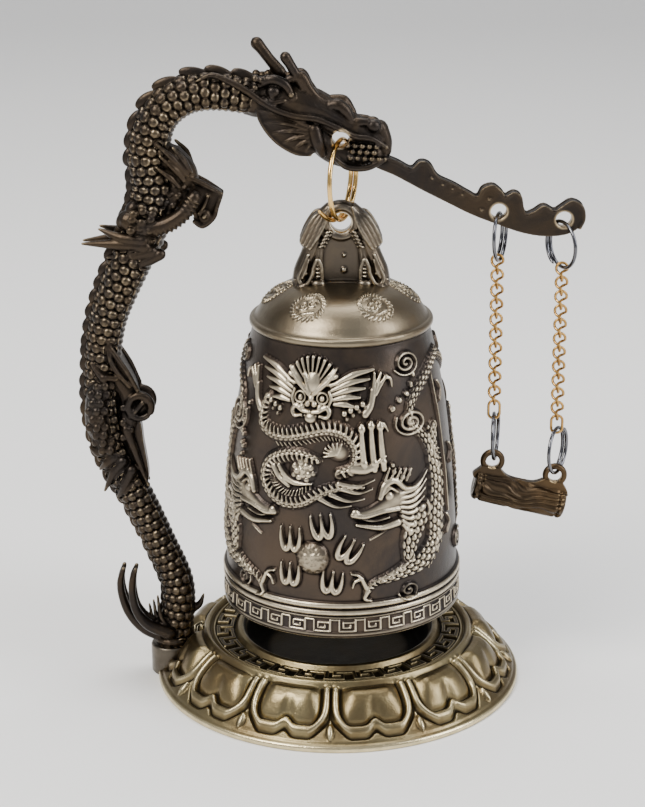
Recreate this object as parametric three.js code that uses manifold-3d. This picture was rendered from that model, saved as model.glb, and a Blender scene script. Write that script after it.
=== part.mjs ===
// Temple bell on a dragon stand. Millimetres, +Z up, the base rests on Z = 0.
// +X runs from the dragon's body towards the tip of its beam, +Y to the back.
import * as THREE from "three";
import { mergeVertices } from "three/addons/utils/BufferGeometryUtils.js";
import Module from "manifold-3d";

const wasm = await Module();
wasm.setup();

// the whole bell is moved along X so its bounding box is centred on the origin
const frameShiftX = 3.0;
const gap = 0.3;

// base
const baseRadius = 47.5;
const petalCount = 12;
const petalTurn = THREE.MathUtils.degToRad(-93); // where one of the lines between petals lies
const ridgeOuterRadius = 34.1;
const ridgeInnerRadius = 25.4;
const bossX = -44.0;
const bossRadius = 5.4;
const bossTop = 8.0;

// bell, hung a little to the right of the base's axis
const bellX = 1.0;
const rimZ = 23.3;
const rimRadius = 31.0;
const shoulderZ = 97.1;
const crownHoleZ = 121.9;
const crownHoleRadius = 2.35;
const crownThickness = 6.0;

// dragon and beam
const mouthHoleZ = 143.2;
const mouthHoleRadius = 1.7;
const beamThickness = 3.5;
const beamHoleRadius = 1.95;
const leftX = 39.9;
const leftHoleZ = 124.5;
const rightX = 56.0;
const rightHoleZ = 122.4;

// rings, chains, striker
const bellRingWire = 0.6;
const bellRingTurn = -18;
const smallRingRadius = 5.85;
const smallRingWire = 0.475;
const linkWire = 0.35;
const linkHalfWidth = 1.42;
const leftLinks = 11;
const rightLinks = 12;
const leftEyeZ = 58.5;
const rightEyeZ = 54.5;
const eyeHoleRadius = 1.9;
const wireInEye = 0.975; // height of the lower ring's wire over the middle of the eye
const logRadius = 4.3;
const logLength = 23.6;
const eyeHeight = 7.2;

const darkBronze = [0x3a2f26, 0.45, 0.9];
const bellBronze = [0x8c7a56, 0.38, 0.95];
const baseBronze = [0x9a8a5c, 0.38, 0.95];
const gold = [0xd9b45a, 0.2, 1.0];
const copperGold = [0xb98a45, 0.3, 1.0];
const blackNickel = [0x4a4a4c, 0.25, 1.0];

const at = (x, y, z) => new THREE.Vector3(x, y, z);

function toSolid(geometry) {
  const plain = geometry.clone();
  plain.deleteAttribute("normal");
  plain.deleteAttribute("uv");
  const welded = mergeVertices(plain, 1e-4);
  return new wasm.Manifold(new wasm.Mesh({
    numProp: 3,
    vertProperties: new Float32Array(welded.attributes.position.array),
    triVerts: new Uint32Array(welded.index.array),
  }));
}

function toGeometry(solid) {
  const mesh = solid.getMesh();
  const geometry = new THREE.BufferGeometry();
  geometry.setAttribute("position", new THREE.BufferAttribute(mesh.vertProperties, 3));
  geometry.setIndex(new THREE.BufferAttribute(mesh.triVerts, 1));
  geometry.computeVertexNormals();
  return geometry;
}

function joined(geometries) {
  return geometries.map(toSolid).reduce((a, b) => a.add(b));
}

// a lathe about Z from pairs of radius and height
function turned(pairs, segments) {
  const points = pairs.map(([r, z]) => new THREE.Vector2(r, z));
  return outward(new THREE.LatheGeometry(points, segments).rotateX(Math.PI / 2));
}

// a round bar about Z
function bar(radius, zLow, zHigh, x, y, sides) {
  const geometry = new THREE.CylinderGeometry(radius, radius, zHigh - zLow, sides);
  return geometry.rotateX(Math.PI / 2).translate(x, y, (zLow + zHigh) / 2);
}

// a round bar through the dragon's plane
function pin(radius, length, x, z, sides) {
  return new THREE.CylinderGeometry(radius, radius, length, sides).translate(x, 0, z);
}

// a plate in the dragon's plane from pairs of x and z
function plate(pairs, thickness) {
  const shape = new THREE.Shape(pairs.map(([x, z]) => new THREE.Vector2(x, z)));
  const geometry = new THREE.ExtrudeGeometry(shape, { depth: thickness, bevelEnabled: false });
  return geometry.rotateX(Math.PI / 2).translate(0, thickness / 2, 0);
}

// a capped cylinder bent along a curve, its radius read from a list
function limb(points, radii, steps, sides) {
  const curve = new THREE.CatmullRomCurve3(points, false, "centripetal");
  const frames = curve.computeFrenetFrames(steps, false);
  const geometry = new THREE.CylinderGeometry(1, 1, steps, sides, steps);
  const position = geometry.attributes.position;
  for (let i = 0; i < position.count; i += 1) {
    const k = Math.round(position.getY(i) + steps / 2);
    const place = (k / steps) * (radii.length - 1);
    const low = Math.min(Math.floor(place), radii.length - 2);
    const radius = THREE.MathUtils.lerp(radii[low], radii[low + 1], place - low);
    const centre = curve.getPointAt(k / steps);
    centre.addScaledVector(frames.normals[k], position.getX(i) * radius);
    centre.addScaledVector(frames.binormals[k], position.getZ(i) * radius);
    position.setXYZ(i, centre.x, centre.y, centre.z);
  }
  return outward(geometry);
}

// turn a closed shape right side out
function outward(geometry) {
  const index = geometry.index;
  const p = geometry.attributes.position;
  let volume = 0;
  for (let i = 0; i < index.count; i += 3) {
    const [a, b, c] = [0, 1, 2].map((k) => new THREE.Vector3().fromBufferAttribute(p, index.getX(i + k)));
    volume += a.dot(b.cross(c));
  }
  if (volume < 0) {
    for (let i = 0; i < index.count; i += 3) {
      const first = index.getX(i);
      index.setX(i, index.getX(i + 2));
      index.setX(i + 2, first);
    }
  }
  return geometry;
}

function blob(x, y, z, rx, ry, rz, turn) {
  const geometry = new THREE.SphereGeometry(1, 9, 6).scale(rx, ry, rz);
  return geometry.rotateY(turn || 0).translate(x, y, z);
}

// how far the petals stand above the plain cone of the base
function petalRise(radius, angle) {
  const along = THREE.MathUtils.clamp((radius - 34.5) / 11.0, 0, 1);
  const across = Math.abs(Math.sin((petalCount / 2) * (angle - petalTurn)));
  const edge = 1 - Math.exp(-across * 3.2);
  return 2.3 * Math.sin(Math.PI * along) * edge;
}

function makeBase() {
  const profile = [
    [0, 6.2], [22, 6.8], [24.8, 13.4], [26.2, 13.5], [26.9, 12.4], [32.4, 12.2],
    [33.2, 13.0], [34.6, 13.0], [37.0, 10.4], [40.0, 7.4], [43.0, 4.4], [45.4, 2.4],
    [47.5, 1.4], [47.5, 0], [44.6, 0], [37.6, 7.0], [33.4, 10.2],
    [24.4, 10.2], [22.6, 4.2], [0, 3.8],
  ];
  const geometry = turned(profile, 5 * petalCount).rotateZ(petalTurn);
  const position = geometry.attributes.position;
  for (let i = 0; i < position.count; i += 1) {
    const x = position.getX(i);
    const y = position.getY(i);
    const radius = Math.hypot(x, y);
    const top = position.getZ(i) > 46.9 - radius;
    if (top && radius > 34.7 && radius < 46.0) {
      position.setZ(i, position.getZ(i) + petalRise(radius, Math.atan2(y, x)));
    }
  }
  const boss = bar(bossRadius, 0, bossTop, bossX, 0, 28);
  const seat = bar(bossRadius + 0.5, bossTop, bossTop + 12, bossX + 0.9, 0, 28);
  const hole = bar(1.7, -1, bossTop + 1, bossX, 0, 16);
  const counterbore = bar(3.4, -1, 3.0, bossX, 0, 20);
  return joined([geometry, boss]).subtract(joined([seat, hole, counterbore]));
}

function makeBell() {
  const profile = [
    [0, 93.4], [18.5, 92.6], [22.6, 84], [25.6, 66], [27.2, 48], [28.2, rimZ],
    [rimRadius, rimZ], [31.0, 28.4], [31.5, 29.2], [31.0, 30.2], [31.5, 31.4], [30.6, 32.8],
    [30.2, 44], [29.0, 60], [27.0, 76], [24.6, 88], [22.6, 94.6], [22.2, 96.0],
    [23.0, shoulderZ - 0.5], [23.0, shoulderZ + 0.6], [21.8, 98.6], [19.0, 102.2], [14.0, 105.3], [0, 107],
  ];
  const body = toSolid(turned(profile, 40));
  const half = [
    [0, 105], [11.0, 105], [11.4, 107.4], [9.8, 111], [8.6, 113.2], [10.2, 114.6], [9.9, 117.4], [8.2, 119.8],
    [6.6, 122.8], [4.9, 125.6], [2.6, 127.2], [0, 127.4],
  ];
  const outline = half.concat(half.slice(1, -1).reverse().map(([x, z]) => [-x, z]));
  const crown = toSolid(plate(outline, crownThickness));
  const arch = [[-4.4, 100], [4.4, 100], [4.2, 112], [2.6, 116.4], [0, 117.8], [-2.6, 116.4], [-4.2, 112]];
  const front = toSolid(plate(arch, 4).translate(0, -4.0, 0)).subtract(body);
  const back = toSolid(plate(arch, 4).translate(0, 4.0, 0)).subtract(body);
  const hole = toSolid(pin(crownHoleRadius, 30, 0, crownHoleZ, 20));
  const thinFront = toSolid(pin(3.4, 4, 0, crownHoleZ, 20).translate(0, -3.1, 0));
  const thinBack = toSolid(pin(3.4, 4, 0, crownHoleZ, 20).translate(0, 3.1, 0));
  return crown.subtract(front).subtract(back).add(body).subtract(hole).subtract(thinFront).subtract(thinBack);
}

const spine = [
  [-42.9, 8.6], [-42.2, 14], [-41.6, 24.8], [-46, 36.8], [-51, 48.6], [-56.6, 60], [-59.2, 71], [-59.2, 83],
  [-57.2, 97], [-52, 110], [-47.3, 120], [-45, 130], [-45.6, 139], [-43.4, 147.6], [-37.6, 152.8],
  [-30.6, 154.2], [-22, 153.2], [-14, 151.2], [-8, 149.4],
];
const spineRadii = [
  4.9, 4.5, 4.2, 4.1, 4.2, 4.5, 4.6, 4.5, 4.8, 5.4, 5.7, 5.4, 5.2, 5.0, 4.9, 4.8, 4.6, 4.6, 4.4,
];

// a scalloped fin along the outer side of the body
function dorsalFin() {
  const curve = new THREE.CatmullRomCurve3(spine.map(([x, z]) => at(x, 0, z)), false, "centripetal");
  const outer = [];
  const inner = [];
  const count = 51;
  for (let i = 0; i <= count; i += 1) {
    const t = 0.14 + 0.78 * (i / count);
    const centre = curve.getPointAt(t);
    const tangent = curve.getTangentAt(t);
    const scallop = 0.55 + 1.15 * (i % 3 === 0 ? 0 : 1);
    const reach = 4.5 + scallop;
    outer.push([centre.x - tangent.z * reach, centre.z + tangent.x * reach]);
    inner.push([centre.x - tangent.z * 2.5, centre.z + tangent.x * 2.5]);
  }
  return plate(outer.concat(inner.reverse()), 1.6);
}

function dragonHead() {
  const jaw = [
    [-16, 146], [-9, 143.6], [-5.6, 139.8], [-1, 136.4], [5.4, 134.0], [9.6, 134.6], [12.4, 138],
    [11.6, 143.4], [8.6, 146.4], [3.6, 148.4], [0.4, 152.2], [-6, 155.4], [-15, 158],
  ];
  const fan = [[-19.4, 150.4], [-15.6, 143.2], [-9.4, 139.4], [-5.4, 139.8], [-7.5, 150], [-12, 153.5]];
  const pieces = [
    plate(jaw, 8.4),
    blob(-6, 0, 149.4, 8.6, 5.4, 5.0, 0.3),
    blob(5.2, 0, 140.6, 7.4, 5.0, 4.2, 0.35),
    blob(9.2, 0, 144.4, 2.4, 4.4, 2.2, 0.4),
  ];
  for (const side of [-1, 1]) {
    pieces.push(blob(1.4, side * 3.7, 150.2, 2.6, 1.7, 2.2, 0.5));
    pieces.push(plate(fan, 1.6).translate(0, side * 5.2, 0));
    pieces.push(blob(-4.8, side * 3.9, 143.6, 2.1, 1.8, 2.1, 0));
  }
  return pieces;
}

function dragonHorns() {
  return [
    limb([at(-9.6, -2.4, 153), at(-13.6, -2.6, 160.2), at(-16.4, -2.7, 162.6), at(-19.4, -2.8, 166.4)],
      [2.2, 1.7, 1.5, 1.3], 8, 8),
    limb([at(-5, 2.4, 152), at(-8.6, 2.6, 157.2), at(-10.6, 2.7, 160.6), at(-12.6, 2.8, 164.2)],
      [2.2, 1.7, 1.4, 1.2], 8, 8),
  ];
}

function dragonLimbs() {
  const pieces = [
    limb([at(-50, -2, 119), at(-43.6, -5.2, 122.6), at(-36, -5.6, 127.6), at(-33.6, -4.6, 124), at(-34.4, -4, 121.6)],
      [3.6, 3.4, 3.2, 2.6, 1.8], 12, 8),
    limb([at(-44, -3.4, 125), at(-37, -4.6, 131), at(-29.6, -4.4, 128.2)], [2.6, 2.2, 0.8], 6, 6),
    limb([at(-48, -2.6, 122), at(-54, -4.4, 120.8), at(-58, -4.4, 117.6), at(-62.4, -4, 116.0)],
      [3.2, 2.6, 1.6, 0.7], 8, 6),
    limb([at(-53, -4, 120), at(-57, -4.8, 115.6), at(-56.8, -4.6, 112.6)], [2.4, 1.5, 0.7], 6, 6),
    limb([at(-57.6, -1.6, 82), at(-54, -4.4, 78.6), at(-50.4, -4.8, 76.4), at(-49.0, -4.4, 73), at(-52.4, -4.2, 71.4)],
      [3.2, 2.8, 2.4, 2.1, 1.6], 12, 8),
    limb([at(-55, -2.4, 76), at(-58.6, -4.6, 69), at(-62.4, -4.2, 64)], [2.8, 1.9, 0.7], 7, 6),
    limb([at(-55, -2.4, 74), at(-57.6, -4.6, 63), at(-60.2, -4.0, 58)], [2.8, 1.7, 0.7], 7, 6),
    limb([at(-55.5, -2.4, 70), at(-56.6, -4.4, 58), at(-59.6, -3.6, 52)], [2.6, 1.6, 0.7], 7, 6),
    limb([at(-57, -2, 94), at(-54, -4.2, 86), at(-53, -4, 80)], [1.6, 2.4, 1.2], 6, 6),
  ];
  const tail = [
    limb([at(-43, -1, 13.4), at(-50.6, -1.6, 16.4), at(-54.4, -1.6, 21.6), at(-55.6, -1.6, 27.6)],
      [3.0, 2.4, 1.7, 0.7], 9, 6),
    limb([at(-43, 1, 14.4), at(-48.6, 1.4, 18), at(-51.6, 1.6, 23), at(-52.4, 1.6, 29.0)],
      [2.8, 2.2, 1.5, 0.7], 9, 6),
  ];
  return pieces.concat(tail);
}

function beamPlate() {
  const top = [
    [4, 142], [12, 138.4], [16.4, 135.9], [17.6, 137.2], [19.4, 137.3], [22.6, 133.0], [29.7, 130.8],
    [31.9, 128.9], [33.4, 131.2], [35.5, 132.0], [37.4, 130.8], [38.4, 128.9], [39.8, 129.9], [41.4, 129.7],
    [42.8, 126.6], [44.4, 124.6], [46.4, 125.6], [48.6, 126.3], [50.6, 125.4], [52.0, 124.4], [54.0, 126.2],
    [56.4, 127.2], [58.4, 126.0], [59.6, 123.8],
  ];
  const low = [
    [59.2, 121.4], [57.4, 119.8], [53.4, 118.9], [48.0, 118.9], [40.8, 120.6], [36.3, 122.0], [29.8, 124.4],
    [22.7, 127.1], [15.3, 130.9], [9.8, 134.4], [4, 137],
  ];
  return plate(top.concat(low), beamThickness);
}

function makeDragon() {
  const body = limb(spine.map(([x, z]) => at(x, 0, z)), spineRadii, 40, 10);
  const foot = bar(bossRadius - 0.2, bossTop + gap, 11.4, bossX + 0.9, 0, 24);
  const pieces = [body, foot, dorsalFin(), beamPlate(), ...dragonHead(), ...dragonHorns(), ...dragonLimbs()];
  const under = bar(20, bossTop - 12, bossTop + gap, bossX, 0, 12);
  const holes = [
    under,
    pin(mouthHoleRadius, 40, bellX, mouthHoleZ, 18),
    pin(2.7, 10, bellX, mouthHoleZ - 0.9, 18).translate(0, -6.2, 0),
    pin(2.7, 10, bellX, mouthHoleZ - 0.9, 18).translate(0, 6.2, 0),
    pin(beamHoleRadius, 20, leftX, leftHoleZ, 18),
    pin(beamHoleRadius, 20, rightX, rightHoleZ, 18),
    pin(beamHoleRadius + 0.5, 10, leftX, leftHoleZ, 18).translate(0, -5.6, 0),
    pin(beamHoleRadius + 0.5, 10, leftX, leftHoleZ, 18).translate(0, 5.6, 0),
    pin(beamHoleRadius + 0.5, 10, rightX, rightHoleZ, 18).translate(0, -5.6, 0),
    pin(beamHoleRadius + 0.5, 10, rightX, rightHoleZ, 18).translate(0, 5.6, 0),
    bar(1.9, bossTop - 2, 15.0, bossX, 0, 16),
  ];
  return joined(pieces).subtract(joined(holes));
}

// a coil of round wire in an upright plane; angles run from +Y towards +Z, and turn twists it about the vertical
function splitRing(radius, wire, topZ, x, from, to, flare, turn) {
  const points = [];
  const twist = THREE.MathUtils.degToRad(turn);
  const count = 40;
  const centreZ = topZ - radius;
  for (let i = 0; i <= count; i += 1) {
    const t = i / count;
    const angle = THREE.MathUtils.degToRad(THREE.MathUtils.lerp(from, to, t));
    const reach = radius + flare * Math.max(0, 1 - t / 0.08) ** 2;
    const side = (t - 0.5) * 2.2 * wire * ((to - from) / 360);
    const lean = -0.9 * flare * Math.max(0, 1 - t / 0.08);
    const across = side + lean;
    const away = reach * Math.cos(angle);
    const turnedX = across * Math.cos(twist) - away * Math.sin(twist);
    const turnedY = across * Math.sin(twist) + away * Math.cos(twist);
    points.push(at(x + turnedX, turnedY, centreZ + reach * Math.sin(angle)));
  }
  return limb(points, [wire, wire], 26, 5);
}

// an oval wire link, its lower end turned by a twist in degrees
function chainLink(halfLength, twist) {
  const geometry = new THREE.TorusGeometry(3, linkWire, 4, 12);
  const position = geometry.attributes.position;
  for (let i = 0; i < position.count; i += 1) {
    const angle = Math.atan2(position.getY(i), position.getX(i));
    const x = position.getX(i) + (linkHalfWidth - 3) * Math.cos(angle);
    const z = position.getY(i) + (halfLength - 3) * Math.sin(angle);
    const y = position.getZ(i);
    const down = THREE.MathUtils.clamp(0.5 - z / (2 * halfLength - 1.2), 0, 1);
    const turn = THREE.MathUtils.degToRad(twist) * down;
    const c = Math.cos(turn);
    const s = Math.sin(turn);
    position.setXYZ(i, c * x - s * y, s * x + c * y, z);
  }
  return outward(geometry);
}

// the striker is drawn along X about the line between its eyes, then tilted
function makeStriker(turn) {
  const half = Math.hypot(rightX - leftX, rightEyeZ - leftEyeZ) / 2;
  const log = new THREE.CylinderGeometry(logRadius, logRadius, logLength, 14, 3).rotateZ(Math.PI / 2);
  const position = log.attributes.position;
  for (let i = 0; i < position.count; i += 1) {
    const angle = Math.atan2(position.getZ(i), position.getY(i));
    const bark = 1 + 0.04 * Math.cos(7 * angle);
    position.setY(i, position.getY(i) * bark);
    position.setZ(i, position.getZ(i) * bark);
  }
  log.translate(0.6, 0, -eyeHeight);
  const web = [
    [-half - 1.5, -eyeHeight + 2], [half + 1.5, -eyeHeight + 2], [half + 1.2, 2.6], [half - 2.6, 1.8], [0.4, -1.2],
    [-half + 2.6, 2.0], [-half - 1.2, 2.6],
  ];
  const pieces = [log, plate(web, 2.2)];
  for (const x of [-half, half]) {
    pieces.push(pin(2.9, 2.2, x, 0, 18));
  }
  const holes = [-half, half].map((x) => pin(eyeHoleRadius, 12, x, 0, 18));
  const solid = joined(pieces).subtract(joined(holes));
  return toGeometry(solid).rotateY(turn);
}

function makeScrew() {
  const head = bar(2.9, 0.7, 2.6, bossX, 0, 18);
  const shank = bar(1.4, 2.0, 13.6, bossX, 0, 12);
  const slot = new THREE.BoxGeometry(8, 0.8, 1.4).translate(bossX, 0, 0.6);
  return joined([head, shank]).subtract(toSolid(slot));
}

const group = new THREE.Group();

function put(name, geometry, finish) {
  const [color, roughness, metalness] = finish;
  const moved = geometry.clone().translate(frameShiftX, 0, 0);
  const mesh = new THREE.Mesh(moved, new THREE.MeshStandardMaterial({ color, roughness, metalness }));
  mesh.name = name;
  group.add(mesh);
}

function smallRing(topZ, x, turn) {
  return splitRing(smallRingRadius, smallRingWire, topZ, x, -65, 425, 0, turn);
}

function hangChain(side, x, holeZ, eyeZ, count, upperTurn, lowerTurn) {
  const topWire = holeZ - 0.8;
  const firstTop = topWire - 2 * smallRingRadius + smallRingWire + linkWire + gap;
  const lowWire = eyeZ + wireInEye;
  const lowTop = lowWire + 2 * smallRingRadius;
  const reach = 2 * linkWire + gap;
  const lastLow = lowTop - (smallRingWire + linkWire + gap);
  const pitch = (firstTop - lastLow - reach) / count;
  const halfLength = (pitch + reach) / 2;
  put(`upper_ring_${side}`, smallRing(topWire, x, upperTurn), blackNickel);
  for (let i = 0; i < count; i += 1) {
    const twist = i === count - 1 ? 0 : 90;
    const link = chainLink(halfLength, twist).translate(x, 0, firstTop - halfLength - i * pitch);
    put(`link_${side}_${String(i + 1).padStart(2, "0")}`, link, copperGold);
  }
  put(`lower_ring_${side}`, smallRing(lowTop, x, lowerTurn), blackNickel);
}

put("base", toGeometry(makeBase()), baseBronze);
put("dragon_stand", toGeometry(makeDragon()), darkBronze);
put("stand_screw", toGeometry(makeScrew()), blackNickel);
put("bell", toGeometry(makeBell()).translate(bellX, 0, 0), bellBronze);

const mouthWire = mouthHoleZ - 0.8;
const crownWire = crownHoleZ + 0.8;
const bellRingRadius = (mouthWire - crownWire) / 2;
put("bell_ring", splitRing(bellRingRadius, bellRingWire, mouthWire, bellX, -150, 400, 1.6, bellRingTurn), gold);

hangChain("left", leftX, leftHoleZ, leftEyeZ, leftLinks, -17, -9);
hangChain("right", rightX, rightHoleZ, rightEyeZ, rightLinks, 28, -26);

const tilt = Math.atan2(leftEyeZ - rightEyeZ, rightX - leftX);
const striker = makeStriker(tilt).translate((leftX + rightX) / 2, 0, (leftEyeZ + rightEyeZ) / 2);
put("striker", striker, darkBronze);

export default group;
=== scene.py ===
import bmesh
import bpy
import math
import numpy as np
from mathutils import Matrix, Vector


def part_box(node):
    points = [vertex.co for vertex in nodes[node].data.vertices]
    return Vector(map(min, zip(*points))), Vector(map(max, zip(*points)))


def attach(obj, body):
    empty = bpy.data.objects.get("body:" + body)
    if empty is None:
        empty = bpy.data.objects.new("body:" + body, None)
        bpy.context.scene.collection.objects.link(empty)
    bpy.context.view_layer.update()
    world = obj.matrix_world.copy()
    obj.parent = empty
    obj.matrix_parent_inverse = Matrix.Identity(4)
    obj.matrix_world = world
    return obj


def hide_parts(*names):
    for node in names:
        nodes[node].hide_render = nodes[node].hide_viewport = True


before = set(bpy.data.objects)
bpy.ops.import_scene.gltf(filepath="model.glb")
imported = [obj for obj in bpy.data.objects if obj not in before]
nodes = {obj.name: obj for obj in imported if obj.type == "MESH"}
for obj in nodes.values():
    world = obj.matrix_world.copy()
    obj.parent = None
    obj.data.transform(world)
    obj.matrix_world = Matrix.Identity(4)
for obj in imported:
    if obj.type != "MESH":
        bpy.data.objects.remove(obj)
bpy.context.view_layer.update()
mm = 0.001  # every size below is in millimetres unless it says otherwise


def boxOf(node):
    low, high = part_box(node)
    return np.array(low) / mm, np.array(high) / mm


bellLow, bellHigh = boxOf("bell")
axisX = boxOf("base")[1][0] - 47.5   # middle of the round base
bellX = (bellLow[0] + bellHigh[0]) / 2   # the bell hangs a little to its right
rng = np.random.default_rng(7)


# small geometry helpers

def catmull(points, perSpan=8):
    # a smooth curve through given points, in any number of dimensions
    p = np.array(points, float)
    p = np.vstack([2 * p[0] - p[1], p, 2 * p[-1] - p[-2]])
    t = np.linspace(0, 1, perSpan, endpoint=False)[:, None]
    spans = []
    for i in range(1, len(p) - 2):
        a, b, c, d = p[i - 1], p[i], p[i + 1], p[i + 2]
        spans.append(0.5 * (2 * b + (c - a) * t + (2 * a - 5 * b + 4 * c - d) * t**2
                            + (3 * b - a - 3 * c + d) * t**3))
    return np.vstack(spans + [p[-2][None]])


def lengthsAlong(path):
    steps = np.linalg.norm(np.diff(path, axis=0), axis=1)
    return np.concatenate([[0], np.cumsum(steps)])


def gridQuads(rows, cols, closed):
    i = np.arange(rows - 1)[:, None]
    j = np.arange(cols if closed else cols - 1)[None, :]
    k = (j + 1) % cols
    return np.stack([i * cols + j, i * cols + k, (i + 1) * cols + k, (i + 1) * cols + j], -1).reshape(-1, 4)


def fan(apex, start, count, turned=False):
    # triangles from one vertex to a closed ring of others
    j = start + np.arange(count)
    k = start + (np.arange(count) + 1) % count
    return np.stack([np.full(count, apex), *((k, j) if turned else (j, k))], -1)


def buildMesh(name, points, quads, tris=None, smooth=True):
    tris = np.zeros((0, 3), int) if tris is None else np.array(tris)
    quads = np.zeros((0, 4), int) if quads is None else quads
    mesh = bpy.data.meshes.new(name)
    mesh.vertices.add(len(points))
    mesh.vertices.foreach_set("co", (np.asarray(points, float) * mm).ravel())
    corners = np.concatenate([quads.ravel(), tris.ravel()]).astype(np.int32)
    starts = np.concatenate([np.arange(len(quads)) * 4, len(quads) * 4 + np.arange(len(tris)) * 3])
    mesh.loops.add(len(corners))
    mesh.loops.foreach_set("vertex_index", corners)
    mesh.polygons.add(len(starts))
    mesh.polygons.foreach_set("loop_start", starts.astype(np.int32))
    mesh.update(calc_edges=True)
    if smooth:
        mesh.shade_smooth()
    obj = bpy.data.objects.new(name, mesh)
    bpy.context.scene.collection.objects.link(obj)
    return obj


def closedTube(path, radii, sides=12, flat=1.0, roll=None):
    # a round bar along a path with domed ends; flat squeezes it across the path
    path = np.asarray(path, float)
    n = len(path)
    radii = np.interp(np.linspace(0, 1, n), np.linspace(0, 1, len(radii)), radii)
    tangent = np.gradient(path, axis=0)
    tangent /= np.linalg.norm(tangent, axis=1)[:, None] + 1e-12
    side = np.cross(tangent[0], [0, 1, 0] if roll is None else roll)
    if np.linalg.norm(side) < 1e-3:
        side = np.cross(tangent[0], [1, 0, 0])
    rows = []
    for i in range(n):
        side = side - tangent[i] * (side @ tangent[i])
        side /= np.linalg.norm(side)
        up = np.cross(tangent[i], side)
        a = np.linspace(0, 2 * math.pi, sides, endpoint=False)[:, None]
        rows.append(path[i] + radii[i] * (np.cos(a) * side + np.sin(a) * up * flat))
    points = np.vstack(rows + [path[0] - tangent[0] * radii[0] * 0.5,
                               path[-1] + tangent[-1] * radii[-1] * 0.5])
    tris = np.vstack([fan(n * sides, 0, sides, True), fan(n * sides + 1, (n - 1) * sides, sides)])
    return points, gridQuads(n, sides, True), tris


def turnedSurface(middleX, radii, heights, cols, lift=None):
    # rings about the axis from a row of radii and heights; both ends must lie on the axis
    rows = len(radii)
    a = np.linspace(0, 2 * math.pi, cols, endpoint=False)[None, :]
    r = np.repeat(np.array(radii)[1:-1, None], cols, 1)
    z = np.repeat(np.array(heights)[1:-1, None], cols, 1)
    if lift is not None:
        r = r + lift[0][1:-1]
        z = z + lift[1][1:-1]
    points = np.stack([middleX + r * np.cos(a), r * np.sin(a), z], -1).reshape(-1, 3)
    first = len(points)
    points = np.vstack([points, [middleX, 0, heights[0]], [middleX, 0, heights[-1]]])
    tris = np.vstack([fan(first, 0, cols), fan(first + 1, (rows - 3) * cols, cols, True)])
    return points, gridQuads(rows - 2, cols, True)[:, ::-1], tris


def nearestIndex(values, wanted):
    return int(np.argmin(np.abs(values - wanted)))


# relief: heights painted with strokes on a flat sheet

def newSheet(uLow, uHigh, v, cols):
    # a sheet that closes on itself along u
    u = np.linspace(uLow, uHigh, cols, endpoint=False)
    return {"u": u, "v": v, "h": np.zeros((len(v), cols)), "period": uHigh - uLow}


def distanceTo(path, u, v):
    # distance, place along (0 to 1) and signed side of the nearest point of a path
    best = np.full(u.shape, 1e9)
    along = np.zeros(u.shape)
    side = np.zeros(u.shape)
    total = lengthsAlong(path)
    for i in range(len(path) - 1):
        a, d = path[i], path[i + 1] - path[i]
        t = np.clip(((u - a[0]) * d[0] + (v - a[1]) * d[1]) / (d @ d + 1e-12), 0, 1)
        x, y = u - a[0] - t * d[0], v - a[1] - t * d[1]
        q = x * x + y * y
        nearer = q < best
        best = np.where(nearer, q, best)
        along = np.where(nearer, (total[i] + t * (total[i + 1] - total[i])) / total[-1], along)
        side = np.where(nearer, np.sign(d[0] * y - d[1] * x), side)
    return np.sqrt(best), along, side


def window(sheet, low, high):
    # index arrays and coordinates of the part of the sheet between two corners
    u, v = sheet["u"], sheet["v"]
    rows = np.nonzero((v >= low[1]) & (v <= high[1]))[0]
    step = sheet["period"] / len(u)
    cols = np.arange(math.floor((low[0] - u[0]) / step), math.ceil((high[0] - u[0]) / step) + 1)
    return rows[:, None], (cols % len(u))[None, :], (u[0] + cols * step)[None, :], v[rows][:, None]


def stroke(sheet, points, width, height, pattern=None, flat=0.0, base=0.0, add=False, perSpan=6):
    # a rounded ridge along a curve; width and height are single numbers or lists along it
    path = catmull(points, perSpan) if len(points) > 2 else np.array(points, float)
    widths = np.atleast_1d(width).astype(float)
    heights = np.atleast_1d(height).astype(float)
    reach = widths.max()
    rows, cols, u, v = window(sheet, path.min(0) - reach, path.max(0) + reach)
    if rows.size == 0 or cols.size == 0:
        return
    u, v = np.broadcast_arrays(u, v)
    distance, along, side = distanceTo(path, u, v)
    w = np.interp(along, np.linspace(0, 1, len(widths)), widths)
    h = np.interp(along, np.linspace(0, 1, len(heights)), heights)
    q = np.clip(distance / w, 0, 1)
    value = h * np.sqrt(1 - np.clip((q - flat) / (1 - flat), 0, 1) ** 2)
    if pattern is not None:
        length = along * lengthsAlong(path)[-1]
        value = value * pattern(length, side * q)
    value = np.where(distance < w, value + base, 0)
    old = sheet["h"][rows, cols]
    sheet["h"][rows, cols] = old + value if add else np.maximum(old, value)


def bump(sheet, at, radius, height, squash=1.0, add=False):
    rows, cols, u, v = window(sheet, np.array(at) - radius, np.array(at) + radius)
    q = ((u - at[0]) ** 2 + ((v - at[1]) / squash) ** 2) / radius**2
    value = height * np.sqrt(np.clip(1 - q, 0, 1))
    old = sheet["h"][rows, cols]
    sheet["h"][rows, cols] = old + value if add else np.maximum(old, value)


def curl(sheet, at, size, turns, width, height, start=0.0, squash=1.0, spin=1):
    a = np.linspace(0, turns * 2 * math.pi, int(14 * turns))
    r = size * (1 - 0.9 * a / a[-1])
    points = np.stack([at[0] + r * np.cos(start + spin * a),
                       at[1] + squash * r * np.sin(start + spin * a)], -1)
    stroke(sheet, points, [width * 0.6, width, width], height, perSpan=2)


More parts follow.
